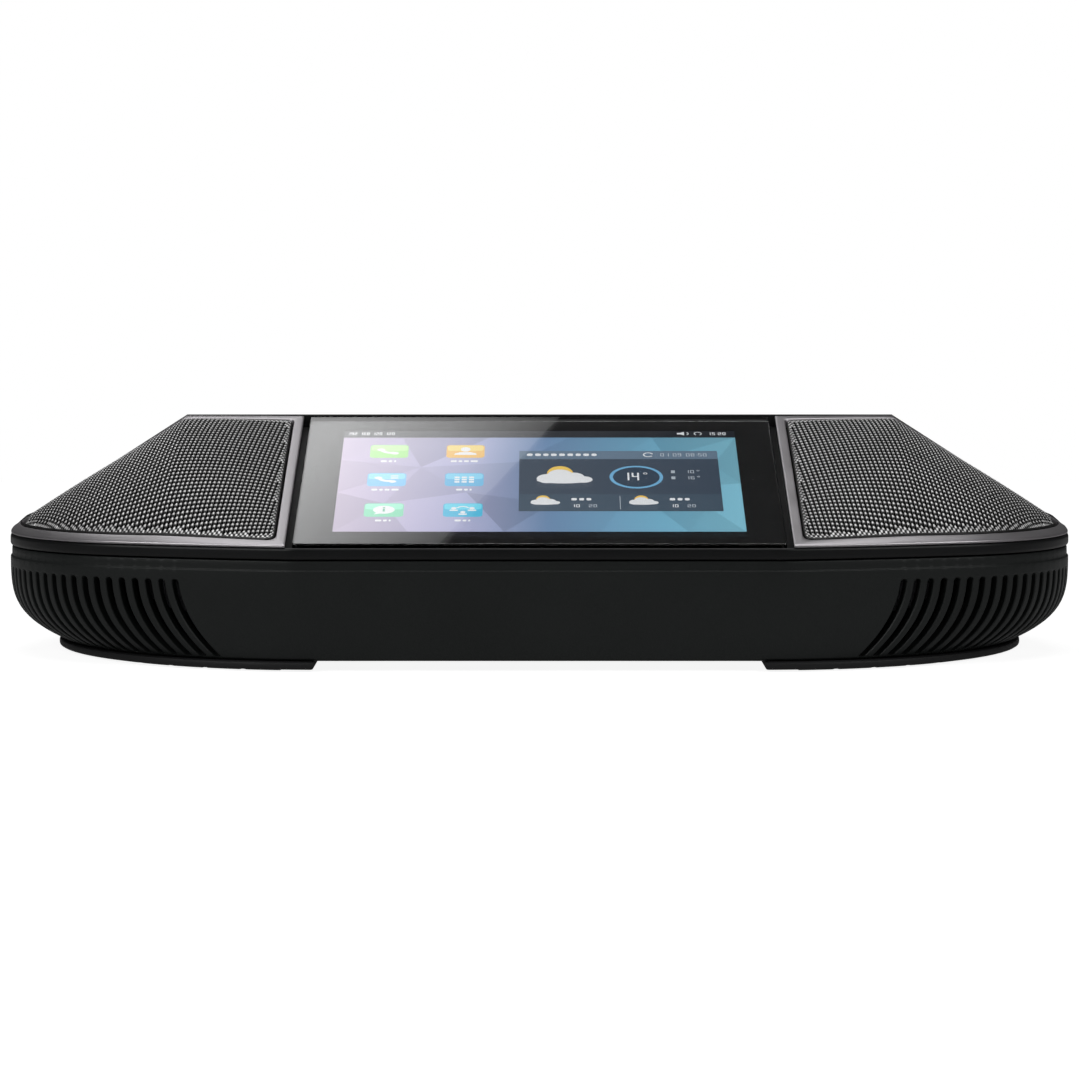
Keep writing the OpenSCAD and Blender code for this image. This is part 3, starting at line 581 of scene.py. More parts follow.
def upper_housing():
    b = Build()
    # rim band, all the way round
    places = [i * 4.5 for i in range(12)] + [54.8, 56, 57.3]
    places += [CREASE + 3 + (TOTAL - 3) * i / 84 for i in range(85)]
    places += [HALF_PLAN - x for x in (70, 58, 46, 34, 22, 11, 0)]
    band = [(2.2, 25.4), (0.55, 25.4), (0.2, 25.47), (0.03, 25.75), (0, 26.1), (0, 27.25),
            (0.07, 27.62), (0.24, 27.86), (0.5, 27.98), (0.82, 28.0), (0.9, 27.9), (0.9, 26.4),
            (2.2, 26.2)]

    def ring(side, p):
        return [(side * rim_at(p, d)[0], rim_at(p, d)[1], z) for d, z in band]

    b.torus([ring(1, p) for p in places] + [ring(-1, p) for p in reversed(places[1:-1])])
    # deck, ridge and rear slope, in lines of constant x
    inset = 0.55
    half = [0, 8, 16, 24, 32, 40, 48, 54, 55.2, 56.2, 57.4, 60, 64, 69, 74, 79, 83, 86]
    half += tip_spread(86, HALF_W - inset - 0.02, 34)
    xs = [-x for x in reversed(half[1:])] + half
    deck_rows = [0, 0.012, 0.05, 0.2, 0.4, 0.6, 0.8, 0.945, 1.0]
    slope_rows = [i / 26 for i in range(1, 27)]

    def section(x):
        y0, y1 = front_y(x, inset), rear_y(x, inset)
        k = min(1.0, (y1 - y0) / 30)
        ridge = back_y(x)
        drop = (2.2 + (0.6 if abs(x) > CREASE else 0)) * max(0.3, k)
        ya, yb = y0 + 0.3 * k, ridge - 0.32 * k
        pts = []
        for v in deck_rows:
            y = ya + (yb - ya) * v
            z = deck_at(x, y) - drop
            pts.append((x, y, z if v else min(z, RIM_Z - 0.05)))
        top = back_z(x)
        for dy, dz in ((-0.3, -0.5), (-0.22, -0.16), (0.0, -0.03), (0.5, 0.0), (1.2, -0.02),
                       (1.9, -0.14), (2.5, -0.4)):
            pts.append((x, ridge + dy * k, top + dz * k))
        c, low = ridge + 2.5 * k, top - 0.4 * k
        for v in slope_rows:
            y = c + (y1 - c) * v
            z = low + (RIM_Z - 0.03 - low) * v + 2.2 * k * math.sin(math.pi * v)
            pts.append((x, y, z))
        return pts

    rows = [section(x) for x in xs]
    lining = []
    for row in rows:
        reach = max(0.1, min(1.0, (row[-1][1] - row[0][1]) / 40))
        lining.append([(x, y, max(PARTING + 0.5, z - 2.1 * reach)) for x, y, z in row])
    # openings under the display and under each grille
    holes = []
    for i, (x0, x1) in enumerate(zip(xs, xs[1:])):
        near, far = sorted((abs(x0), abs(x1)))
        if far <= 54:
            holes += [(i, j) for j in range(2, 7)]
        elif 60 <= near and far <= 98:
            holes += [(i, j) for j in range(3, 6)]
    b.shell(rows, lining, holes)
    b.piece("upper_shell", upper_plastic, replaces=["upper_housing"], slot="housing_upper",
            smooth=34)


# ---- speaker wings

HAND = {-1: "left", 1: "right"}
BACK_GAP = 0.6  # between a wing and the ridge


def wing_xs(u, n_flat=14, n_fan=34, tip=0.0):
    """Places across a wing, evenly to the end of the ridge and then crowding to the tip."""
    x0, x1 = TRIM_IN + u, HALF_W - u - tip
    xs = [x0 + (RIDGE_X - x0) * i / n_flat for i in range(n_flat)]
    return xs + [RIDGE_X] + tip_spread(RIDGE_X, x1, n_fan)


def wing_loop(u, r_front, r_back, tip=0.0):
    """Outline of a wing in plan, counter-clockwise from the middle of its inner edge."""
    xs = wing_xs(u, tip=tip)
    lower = [(x, front_y(x, u)) for x in xs]
    upper = [(x, max(front_y(x, u) + 0.25, back_y(x) - BACK_GAP - u)) for x in xs]
    mid = ((lower[0][0] + upper[0][0]) / 2, (lower[0][1] + upper[0][1]) / 2)
    pts = [mid] + lower + upper[::-1] + [mid]
    pts = fillet(pts, len(pts) - 2, r_back)
    return fillet(pts, 1, r_front)[:-1]


def fillet(pts, index, r, n=8):
    """Rounds one corner and keeps the number of points the same for every inset."""
    p = [np.array(q, float) for q in pts]
    c = p[index]

    def walk(step):
        i, left = index, r
        while 0 <= i + step < len(p):
            gap = np.linalg.norm(p[i + step] - p[i])
            if gap >= left:
                return p[i] + (p[i + step] - p[i]) * left / gap
            left -= gap
            i += step
        return p[i]

    a, b = walk(-1), walk(1)
    kept = []
    for i, q in enumerate(p):
        near = np.linalg.norm(q - c) < r
        if i == index:
            kept += [a * (1 - t) ** 2 + c * 2 * t * (1 - t) + b * t * t
                     for t in (k / n for k in range(n + 1))]
        elif near and i < index:
            kept.append(a.copy())
        elif near and i < index + 6:
            kept.append(b.copy())
        else:
            kept.append(q)
    return kept


def trim(side):
    profile = [(0.15, -0.42), (0.15, -0.16), (0.2, -0.03), (0.34, 0.05), (0.7, 0.09), (1.3, 0.1),
               (1.9, 0.09), (2.22, 0.04), (2.36, -0.05), (2.4, -0.2), (2.4, -1.0), (2.4, -1.9),
               (1.2, -1.9), (1.1, -0.62)]
    loops = []
    for u, h in profile:
        loop = wing_loop(u, 0.35 + 2.4 * (u / TRIM_W) ** 2, 0.3 + 1.2 * (u / TRIM_W) ** 2)
        loops.append([(side * x, y, deck_at(x, y) + h) for x, y in loop])
    b = Build()
    b.torus([list(ring) for ring in zip(*loops)])
    name = HAND[side]
    b.piece(f"{name}_trim_frame", trim_metal, replaces=[f"{name}_trim"], slot="trim_metal",
            smooth=38)


SHEET_T = 0.55
SHEET_IN = 3.1
HOLE_X = 0.41
HOLE_Y = 0.61
CELL_X = 1.05
CELL_Y = 1.5
AROUND = ((1, 0), (1, 1), (0, 1), (-1, 1), (-1, 0), (-1, -1), (0, -1), (1, -1))
SLANT = 0.104
FIRST_COL = TRIM_IN + SHEET_IN + 0.75
KNOT = 0.1  # height of the crossings over the sheet
STRAND = -0.12  # height of the strands between them


def lean(x, y):
    """The columns of the mesh spread outwards towards the front."""
    return x - SLANT * (y - FRONT), y


def knot_glint_material():
    """Dark enamel with painted highlights: the crossings of the mesh are coloured bright where
    light glints on them.
    """
    # the bright colour here is painted highlight for the crossings; the enamel itself is the dark
    # colour mixed in below
    m = material("grille_steel", (0.95, 0.94, 0.94), 0.4, metal=0.35, grain=(2200, 0.08),
                 mottle=0.1)
    tree = m.node_tree
    shader = tree.nodes["Principled BSDF"]
    base = shader.inputs["Base Color"].links[0].from_socket

    def math_node(kind, *values):
        node = add_node(tree, "Math")
        node.operation = kind
        for socket, value in zip(node.inputs, values):
            feed(tree, socket, value)
        return node.outputs["Value"]

    place = add_node(tree, "TexCoord").outputs["Object"]
    apart = add_node(tree, "SeparateXYZ", Vector=place)
    back = math_node("MULTIPLY", math_node("SUBTRACT", apart.outputs["Y"], FRONT * MM), SLANT)
    column = math_node("ADD", math_node("ABSOLUTE", apart.outputs["X"]), back)
    waves = []
    for value, start, pitch in ((column, FIRST_COL + CELL_X / 2, CELL_X),
                                (apart.outputs["Y"], FRONT, CELL_Y)):
        turns = math_node("MULTIPLY", math_node("SUBTRACT", value, start * MM),
                          2 * math.pi / (pitch * MM))
        waves.append(math_node("COSINE", turns))
    # painted highlights: bright dots at the crossings of the lattice, dark enamel between them
    glint_lattice = math_node("MULTIPLY", *waves)
    edge = add_node(tree, "MapRange", Value=glint_lattice, From_Min=-0.25, From_Max=0.55)
    edge.interpolation_type = "SMOOTHSTEP"
    mix = add_node(tree, "Mix")
    mix.data_type = "RGBA"
    mix.inputs["A"].default_value = (0.004, 0.004, 0.004, 1)
    tree.links.new(edge.outputs["Result"], mix.inputs["Factor"])
    tree.links.new(base, mix.inputs["B"])
    tree.links.new(mix.outputs["Result"], shader.inputs["Base Color"])
    return m


grille_steel = knot_glint_material()


def inside(x, y, margin):
    if x < TRIM_IN + margin or x > HALF_W - margin - 2:
        return False
    return front_y(x, margin) <= y <= back_y(x) - BACK_GAP - margin - 0.4 * fan(x)


def sheet_z(x, y):
    """Top of the perforated sheet: it swells a little above the trim and turns down at its edge."""
    x0, x1 = TRIM_IN + SHEET_IN, HALF_W - SHEET_IN
    y0, y1 = front_y(x, SHEET_IN), back_y(x) - SHEET_IN - BACK_GAP
    a = max(0.0, min(1.0, (x - x0) / (x1 - x0)))
    b = max(0.0, min(1.0, (y - y0) / max(0.5, y1 - y0)))
    swell = math.sin(math.pi * a) ** 0.5 * math.sin(math.pi * b) ** 0.5
    return deck_at(x, y) + 0.05 + 1.4 * swell


def mesh_cells(inner_x):
    """Column, row and centre of each mesh cell that lies wholly on the sheet."""
    def fits(x, y):
        front, back = front_y(x, SHEET_IN), back_y(x) - BACK_GAP - SHEET_IN
        near = math.hypot(x - inner_x, y - front) < 1.8 or math.hypot(x - inner_x, y - back) < 1.2
        return inside(x, y, SHEET_IN + 0.14) and not near

    cells = []
    x = FIRST_COL
    while x < HALF_W + SLANT * RIDGE_RUN:
        y = FRONT + 0.5 * CELL_Y
        while y < RIDGE_Y:
            if all(fits(*around(x, y, k)) for k in (1, 3, 5, 7)):
                cells.append((round(x / CELL_X * 2), round(y / CELL_Y * 2), x, y))
            y += CELL_Y
        x += CELL_X
    return cells


def around(x, y, k):
    """One of eight points round a cell: even ones are mid-sides and odd ones are corners."""
    dx, dy = AROUND[k % 8]
    return lean(x + dx * CELL_X / 2, y + dy * CELL_Y / 2)


def margin_faces(loop, cells):
    """Flat triangles between the outermost cells and the sheet's own edge."""
    taken = {(i, j) for i, j, _, _ in cells}
    edges, pts, where = [], [], {}

    def point_id(p):
        key = (round(p[0] * 1000), round(p[1] * 1000))
        if key not in where:
            where[key] = len(pts)
            pts.append(p)
        return where[key]

    for i, j, x, y in cells:
        for k in (0, 4, 2, 6):
            if (i + 2 * AROUND[k][0], j + 2 * AROUND[k][1]) not in taken:
                a, m, c = (point_id(around(x, y, k + n)) for n in (-1, 0, 1))
                edges += [(a, m), (m, c)]
    ids = [point_id(tuple(p)) for p in loop]
    edges += [(a, c) for a, c in zip(ids, ids[1:] + ids[:1]) if a != c]
    spots, _, triangles, *_ = delaunay_2d_cdt([Vector(p) for p in pts], edges, [], 0, 1e-5)
    x_first, y_first = cells[0][2:]
    ring = np.array(loop)
    after = np.roll(ring, -1, 0)

    def in_cells(px, py):
        i = round((px + SLANT * (py - FRONT) - x_first) / CELL_X)
        j = round((py - y_first) / CELL_Y)
        return (round((x_first + i * CELL_X) / CELL_X * 2),
                round((y_first + j * CELL_Y) / CELL_Y * 2)) in taken

    def in_loop(px, py):
        crosses = (ring[:, 1] > py) != (after[:, 1] > py)
        with np.errstate(divide="ignore", invalid="ignore"):
            slope = (after[:, 0] - ring[:, 0]) * (py - ring[:, 1]) / (after[:, 1] - ring[:, 1])
        return int((crosses & (px < slope + ring[:, 0])).sum()) % 2 == 1

    for f in triangles:
        c = sum((spots[k] for k in f), Vector((0, 0))) / len(f)
        if in_loop(c.x, c.y) and not in_cells(c.x, c.y):
            yield [spots[k] for k in f]


def grille(side):
    """The perforated sheet: mesh cells, a plain margin and a turned-down edge."""
    b = Build()
    loop = wing_loop(SHEET_IN, 2.2, 1.6, tip=2.0)
    cells = mesh_cells(loop[0][0])
    index, verts, faces = {}, [], []

    def point(x, y, lining=False, lift=0.0):
        key = (round(x * 1000), round(y * 1000), lining)
        if key not in index:
            index[key] = len(verts)
            verts.append((side * x, y, sheet_z(x, y) + (-SHEET_T if lining else lift)))
        return index[key]

    for _, _, cx, cy in cells:
        turns = [math.pi * i / 4 for i in range(8)]
        hole = [lean(cx + HOLE_X * math.cos(t), cy + HOLE_Y * math.sin(t)) for t in turns]
        for i in range(8):
            j = (i + 1) % 8
            f0, f1 = (point(*around(cx, cy, k), lift=KNOT if k % 2 else STRAND) for k in (i, j))
            r0, r1 = (point(*hole[k], lift=STRAND) for k in (i, j))
            s0, s1 = (point(*hole[k], True) for k in (i, j))
            faces += [(f0, f1, r1, r0), (r0, r1, s1, s0)]
    # the flat margin gets the same painted highlight dots as the cells, without holes
    faces += [tuple(point(p.x, p.y) for p in face) for face in margin_faces(loop, cells)]
    b.add(verts, faces)
    b.tag = 1
    down = []
    for d, h in ((0.0, 0.0), (-0.16, -0.05), (-0.3, -0.2), (-0.36, -0.42), (-0.36, -1.25),
                 (-0.1, -1.25), (-0.1, -0.5), (0.0, -SHEET_T)):
        down.append([(side * q[0], q[1], sheet_z(*p) + h) for p, q in zip(loop, offset(loop, d))])
    b.rings(down, caps=False)
    name = HAND[side]
    b.piece(f"{name}_grille_sheet", [grille_steel, grille_edge], replaces=[f"{name}_grille"],
            slot="grille_steel", smooth=30)


def cloth(side):
    """Acoustic cloth stretched under the perforated sheet."""
    n, inset = 17, 3.3
    rows = []
    for x in wing_xs(inset, 12, 20, tip=3.2):
        y0 = front_y(x, inset)
        y1 = max(y0 + 0.5, back_y(x) - 4.0)
        ys = [y0 + (y1 - y0) * j / (n - 1) for j in range(n)]
        rows.append([(side * x, y, sheet_z(x, y) - 1.15) for y in ys])
    b = Build()
    b.add([p for r in rows for p in r],
          [(i * n + j, i * n + j + 1, (i + 1) * n + j + 1, (i + 1) * n + j)
           for i in range(len(rows) - 1) for j in range(n - 1)])
    name = HAND[side]
    obj = b.piece(f"{name}_acoustic_cloth", speaker_cloth, replaces=[f"{name}_cloth"],
                  slot="speaker_cloth")


# ---- display

GLASS_T = 1.8
INK = 0.02  # thickness of a printed layer
STEP = 0.014  # between one layer and the next


def slab(b, x0, r0, x1, r1, top, thick=INK, corner=0.6, n=4):
    """A thin rounded rectangle on the display plane, its top at that height."""
    corner = min(corner, (x1 - x0) / 2.05, (r1 - r0) / 2.05)
    b.prism(rounded_box(x0, r0, x1, r1, corner, n), [(0, top - thick), (0, top)], on_deck)


def disc(b, cx, cr, rx, top, ry=None, n=28):
    polygon(b, circle(cx, cr, rx, n, ry), top)


def annulus(b, cx, cr, r_out, r_in, top, n=40, a0=0, a1=360):
    """A flat ring, or a piece of one between two angles."""
    full = a1 - a0 >= 360
    rows = []
    for i in range(n if full else n + 1):
        t = math.radians(a0 + (a1 - a0) * i / n)
        rows.append([on_deck(cx + r * math.cos(t), cr + r * math.sin(t), h)
                     for r, h in ((r_in, top - INK), (r_out, top - INK),
                                  (r_out, top), (r_in, top))])
    (b.torus if full else b.rings)(rows)


def polygon(b, pts, top):
    b.prism(pts, [(0, top - INK), (0, top)], on_deck)


SEGMENTS = {"0": "abcdef", "1": "bc", "2": "abged", "4": "fgbc", "5": "afgcd", "6": "afgedc",
            "8": "abcdefg", "9": "abcdfg"}


def digits(b, text, x, r, w, h, top, t=0.2):
    """Numbers drawn as strokes."""
    for ch in text:
        if ch == ":":
            for up in (0.25, 0.65):
                slab(b, x + w * 0.3, r + h * up, x + w * 0.3 + t, r + h * up + t, top)
            x += w * 0.7
            continue
        if ch == " ":
            x += w * 0.8
            continue
        bars = {"a": (0, h - t, w, h), "g": (0, h / 2 - t / 2, w, h / 2 + t / 2), "d": (0, 0, w, t),
                "f": (0, h / 2, t, h), "e": (0, 0, t, h / 2), "b": (w - t, h / 2, w, h),
                "c": (w - t, 0, w, h / 2)}
        for s in SEGMENTS[ch]:
            x0, r0, x1, r1 = bars[s]
            slab(b, x + x0, r + r0, x + x1, r + r1, top, corner=t * 0.3, n=2)
        x += w * 1.35


def marks(b, x0, x1, r, h, top, widths=(1.5, 0.9, 1.2, 1.8, 0.7)):
    """Stands for a line of small writing: short bars of changing length."""
    x, i = x0, 0
    while x < x1:
        w = min(widths[i % len(widths)] * h, x1 - x)
        slab(b, x, r - h / 2, x + w, r + h / 2, top, corner=h * 0.3, n=3)
        x += w + 0.45 * h
        i += 1


def display():
    glass = Build()
    glass_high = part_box("cover_glass")[1]
    gx = glass_high.x / MM
    g1 = (glass_high.z / MM - DECK_Z) / math.sin(TILT)
    glass.prism(rounded_box(-gx, 1.1, gx, g1, 0.7, 6),
                [(0.12, -GLASS_T), (0, -GLASS_T + 0.12), (0, -0.34), (0.05, -0.16), (0.16, -0.04),
                 (0.34, 0.0)], on_deck)
    glass.piece("cover_glass_slab", glass_material(), replaces=["cover_glass"], slot="front_glass",
                smooth=25)
    # black print under the glass, open over the picture
    x0, x1, r0, r1 = -47.1, 47.1, 8.85, 64.95
    mask = Build()
    outer = [(-gx + 0.05, 1.15), (gx - 0.05, 1.15), (gx - 0.05, g1 - 0.05), (-gx + 0.05, g1 - 0.05)]
    inner = [(x0, r0), (x1, r0), (x1, r1), (x0, r1)]
    upper, under = -GLASS_T - 0.003, -GLASS_T - 0.013
    mask.torus([[on_deck(*o, upper), on_deck(*i, upper), on_deck(*i, under), on_deck(*o, under)]
                for o, i in zip(outer, inner)])
    mask.piece("display_mask", mask_ink, slot="front_glass")
    base = -1.885
    # the wallpaper: flat facets whose shades differ
    stops = [(0.0, (0.60, 0.50, 0.66)), (0.3, (0.46, 0.46, 0.66)), (0.52, (0.16, 0.27, 0.44)),
             (0.8, (0.16, 0.40, 0.55)), (1.0, (0.2, 0.48, 0.6))]
    shades = [picture_material(f"wallpaper_{k}", stops, level)
              for k, level in enumerate((0.84, 0.92, 0.98, 1.05, 1.13))]
    wall_top = 61.0
    grid = [(x, r0) for x in (x0, -30, -8, 14, 34, x1)]
    grid += [(x0, 30), (-36, 24), (-17, 30), (3, 24), (22, 31), (39, 22), (x1, 35),
             (x0, 48), (-28, 44), (-5, 47), (13, 41), (30, 50), (41, 45)]
    grid += [(x, wall_top) for x in (x0, -33, -12, 7, 27, x1)]
    spots, _, facets, *_ = delaunay_2d_cdt([Vector(p) for p in grid], [], [], 0, 1e-5)
    parts = [Build() for _ in shades]
    for k, f in enumerate(facets):
        pts = [tuple(spots[i]) for i in f]
        parts[(k * 7 + k // 3) % len(parts)].add(
            [on_deck(*p, base) for p in pts] + [on_deck(*p, base - 0.01) for p in pts],
            [(0, 1, 2), (5, 4, 3), (0, 3, 4, 1), (1, 4, 5, 2), (2, 5, 3, 0)])
    for k, part in enumerate(parts):
        part.piece(f"wallpaper_facets_{k}", shades[k], slot="display_panel")
    layers = {}

    def layer(name, color):
        """The solids of one colour, in a piece that glows a little brighter at its left."""
        if name not in layers:
            lift = [min(1.0, q * 1.25 + 0.05) for q in color]
            layers[name] = (Build(), picture_material(f"light_{name}", [(0.0, lift), (1.0, color)]))
        return layers[name][0]

    h1, h2, h3, h4 = (base + STEP * k for k in (1, 2, 3, 4))
    slab(layer("status", (0.004, 0.006, 0.012)), x0, wall_top, x1, r1, h1 - 0.006, thick=0.008,
         corner=0.01)
    white = layer("white", (0.85, 0.87, 0.9))
    digits(white, "192 168 120 120", -46.3, 62.5, 0.62, 1.5, h2, 0.17)
    # loudspeaker, ring and clock in the status bar
    polygon(white, [(33.2, 62.9), (34.0, 62.9), (34.9, 62.3), (34.9, 64.3), (34.0, 63.7),
                    (33.2, 63.7)], h2)
    annulus(white, 35.0, 63.3, 1.0, 0.8, h2, n=10, a0=-50, a1=50)
    annulus(white, 38.2, 63.3, 0.95, 0.75, h2, n=24, a0=-60, a1=240)
    digits(white, "15:20", 40.6, 62.5, 0.75, 1.5, h2)
    # six round-cornered tiles in two columns
    columns = ((-40.4, -31.3), (-22.2, -13.1))
    rows = ((49.3, 56.6), (33.4, 40.6), (16.8, 24.0))
    tiles = [("green", (0.34, 0.68, 0.22)), ("orange", (0.86, 0.46, 0.10)),
             ("blue", (0.16, 0.48, 0.80)), ("azure", (0.10, 0.42, 0.68)),
             ("mint", (0.20, 0.62, 0.40)), ("cyan", (0.06, 0.46, 0.68))]
    for k, (name, color) in enumerate(tiles):
        (u0, u1), (v0, v1) = columns[k % 2], rows[k // 2]
        slab(layer(f"tile_{name}", color), u0, v0, u1, v1, h2, corner=1.0)
        slab(layer(f"gloss_{name}", tuple(min(1, q * 1.25 + 0.06) for q in color)),
             u0 + 0.25, (v0 + v1) / 2 + 0.3, u1 - 0.25, v1 - 0.25, h3 - 0.006, corner=0.8)
        cx, cr = (u0 + u1) / 2, (v0 + v1) / 2
        if k in (0, 2):
            annulus(white, cx + 0.4, cr + 1.6, 2.9, 1.9, h4, n=14, a0=200, a1=290)
            disc(white, cx - 2.0, cr + 0.9, 0.9, h4, ry=0.7)
            disc(white, cx + 1.4, cr - 1.1, 0.9, h4, ry=0.7)
            if k == 2:
                for q in range(3):
                    slab(white, cx + 0.9, cr + 0.4 + 0.75 * q, cx + 2.7, cr + 0.75 + 0.75 * q, h4,
                         corner=0.1)
        elif k == 1:
            disc(white, cx, cr + 1.1, 1.15, h4, ry=1.25)
            polygon(white, [(cx - 2.7, cr - 2.0), (cx + 2.7, cr - 2.0), (cx + 2.5, cr - 1.2),
                            (cx + 1.2, cr - 0.5), (cx - 1.2, cr - 0.5), (cx - 2.5, cr - 1.2)], h4)
        elif k == 3:
            for q in range(9):
                kx, kr = cx - 2.3 + 1.7 * (q % 3), cr - 1.7 + 1.25 * (q // 3)
                slab(white, kx, kr, kx + 1.2, kr + 0.8, h4, corner=0.2)
        elif k == 4:
            disc(white, cx, cr + 0.1, 2.5, h4, ry=2.1)
            polygon(white, [(cx - 2.2, cr - 2.4), (cx - 0.3, cr - 1.7), (cx - 1.5, cr - 0.8)], h4)
            mint = layer("mint_mark", (0.10, 0.42, 0.26))
            slab(mint, cx - 0.25, cr - 0.9, cx + 0.25, cr + 0.5, h4 + 0.012, corner=0.1)
            disc(mint, cx, cr + 1.1, 0.32, h4 + 0.012, n=12)
        else:
            for dx, dr in ((-2.1, 0.9), (2.1, 0.9), (0, -1.2)):
                disc(white, cx + dx, cr + dr, 0.6, h4)
                slab(white, cx + dx - 1.0, cr + dr - 1.4, cx + dx + 1.0, cr + dr - 0.75, h4,
                     corner=0.3)
            annulus(white, cx, cr + 0.3, 1.7, 1.35, h4, n=16, a0=30, a1=150)
        half = 3.4 if k in (1, 2) else 1.8
        marks(white, cx - half, cx + half, v0 - 2.0, 0.95, h4)
    # weather panel
    slab(layer("panel", (0.035, 0.055, 0.085)), -4.8, 19.8, 42.4, 53.2, h1, corner=0.15)
    slab(layer("panel_head", (0.12, 0.18, 0.25)), -4.8, 48.6, 42.4, 53.2, h2, corner=0.1)
    slab(layer("panel_foot", (0.045, 0.075, 0.11)), -4.8, 19.8, 42.4, 29.0, h2, corner=0.1)
    marks(white, -3.0, 13.6, 51.0, 1.35, h3, (1.0, 1.0, 0.9, 1.0))
    annulus(white, 25.9, 51.0, 1.25, 0.95, h3, n=20, a0=20, a1=320)
    grey = layer("grey", (0.45, 0.5, 0.55))
    digits(grey, "01 09", 28.8, 50.1, 0.85, 1.7, h3)
    digits(grey, "08:50", 34.9, 50.1, 0.85, 1.7, h3)
    slab(grey, 18.6, 20.8, 18.75, 28.0, h3, corner=0.03)

    def cloud(cx, cr, s, top):
        disc(layer("sun", (0.92, 0.56, 0.10)), cx - 0.15 * s, cr + 0.55 * s, 0.62 * s, top,
             ry=0.85 * s)
        puff = layer("cloud", (0.78, 0.80, 0.82))
        for dx, dr, rx, ry in ((-0.75, 0.0, 0.5, 0.5), (-0.15, 0.3, 0.62, 0.72),
                               (0.5, 0.12, 0.5, 0.55), (0.0, -0.18, 1.25, 0.35),
                               (0.95, -0.1, 0.42, 0.35)):
            disc(puff, cx + dx * s, cr + dr * s, rx * s, top + 0.014, ry=ry * s)

    cloud(5.6, 37.5, 5.0, h3)
    cloud(1.2, 24.6, 2.6, h3)
    cloud(24.0, 24.6, 2.6, h3)
    annulus(layer("ring", (0.16, 0.42, 0.66)), 22.75, 38.4, 6.3, 5.5, h3, n=48)
    disc(layer("ring_fill", (0.02, 0.04, 0.07)), 22.75, 38.4, 5.5, h2 + 0.004, n=40)
    digits(white, "14", 19.4, 36.6, 1.7, 4.2, h3, 0.42)
    annulus(white, 24.9, 40.4, 0.5, 0.3, h3, n=14)
    for r, t in ((40.6, "10"), (37.2, "16")):
        slab(grey, 31.0, r, 31.9, r + 1.5, h3, corner=0.1)
        digits(grey, t, 34.3, r, 0.9, 1.6, h3)
        annulus(grey, 37.4, r + 1.4, 0.35, 0.2, h3, n=12)
    for x in (7.4, 30.2):
        marks(white, x, x + 4.6, 26.2, 1.25, h3, (1.0, 0.9))
        digits(white, "10", x, 21.9, 0.8, 1.5, h3)
        digits(grey, "20", x + 4.0, 21.9, 0.8, 1.5, h3)
    for name, (part, mat) in layers.items():
        part.piece(f"screen_{name}", mat, slot="display_panel")


# ---- feet and underside

FOOT_TOP = 2.18


def front_foot(side):
    """Crescent plinth with a broad ledge, a rounded edge and a ribbed rubber sole."""
    c = np.array([49.5, FRONT + 68])
    hollow = c + np.array([-4, 6])

    def arc(centre, radius, first, last, n):
        return [tuple(centre + radius * out(first + (last - first) * i / n)) for i in range(n + 1)]

    b = Build()
    b.prism(arc(c, 67.5, 1.3, 89.5, 44) + arc(hollow, 41.5, 7.7, 80.9, 30)[::-1],
            [(0.9, 0.35), (0.45, 0.42), (0.12, 0.62), (0.0, 0.9), (0.0, 1.55), (0.12, 1.95),
             (0.45, 2.14), (0.8, FOOT_TOP)])
    for k in range(9):
        first = 8 + k * 8.4
        b.prism(arc(c, 65.0, first, first + 7.6, 6) + arc(c, 49.0, first, first + 7.6, 6)[::-1],
                [(0.35, 0.0), (0.08, 0.1), (0.0, 0.25), (0.0, 0.5)])
    b.verts = [(side * x, y, z) for x, y, z in b.verts]
    name = HAND[side]
    b.piece(f"{name}_foot_pad", foot_rubber, replaces=[f"{name}_foot"], slot="foot_rubber")


def rear_foot():
    (x0, y0, _), (x1, y1, _) = (np.array(corner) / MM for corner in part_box("rear_foot"))
    b = Build()
    b.prism(rounded_box(x0, y0, x1, y1, (y1 - y0) / 2 - 0.01, 12),
            [(0.7, 0.0), (0.25, 0.08), (0.0, 0.4), (0.0, 1.9), (0.2, 2.15), (0.5, FOOT_TOP)])
    for i in range(-7, 8):
        groove = rounded_box(i * 5 - 0.6, y0 + 2, i * 5 + 0.6, y1 - 2, 0.5, 4)
        b.prism(groove, [(0.15, 0.0), (0.0, 0.06), (0.0, 0.3)])
    b.piece("rear_foot_pad", foot_rubber, replaces=["rear_foot"], slot="foot_rubber")


# ---- rear sockets


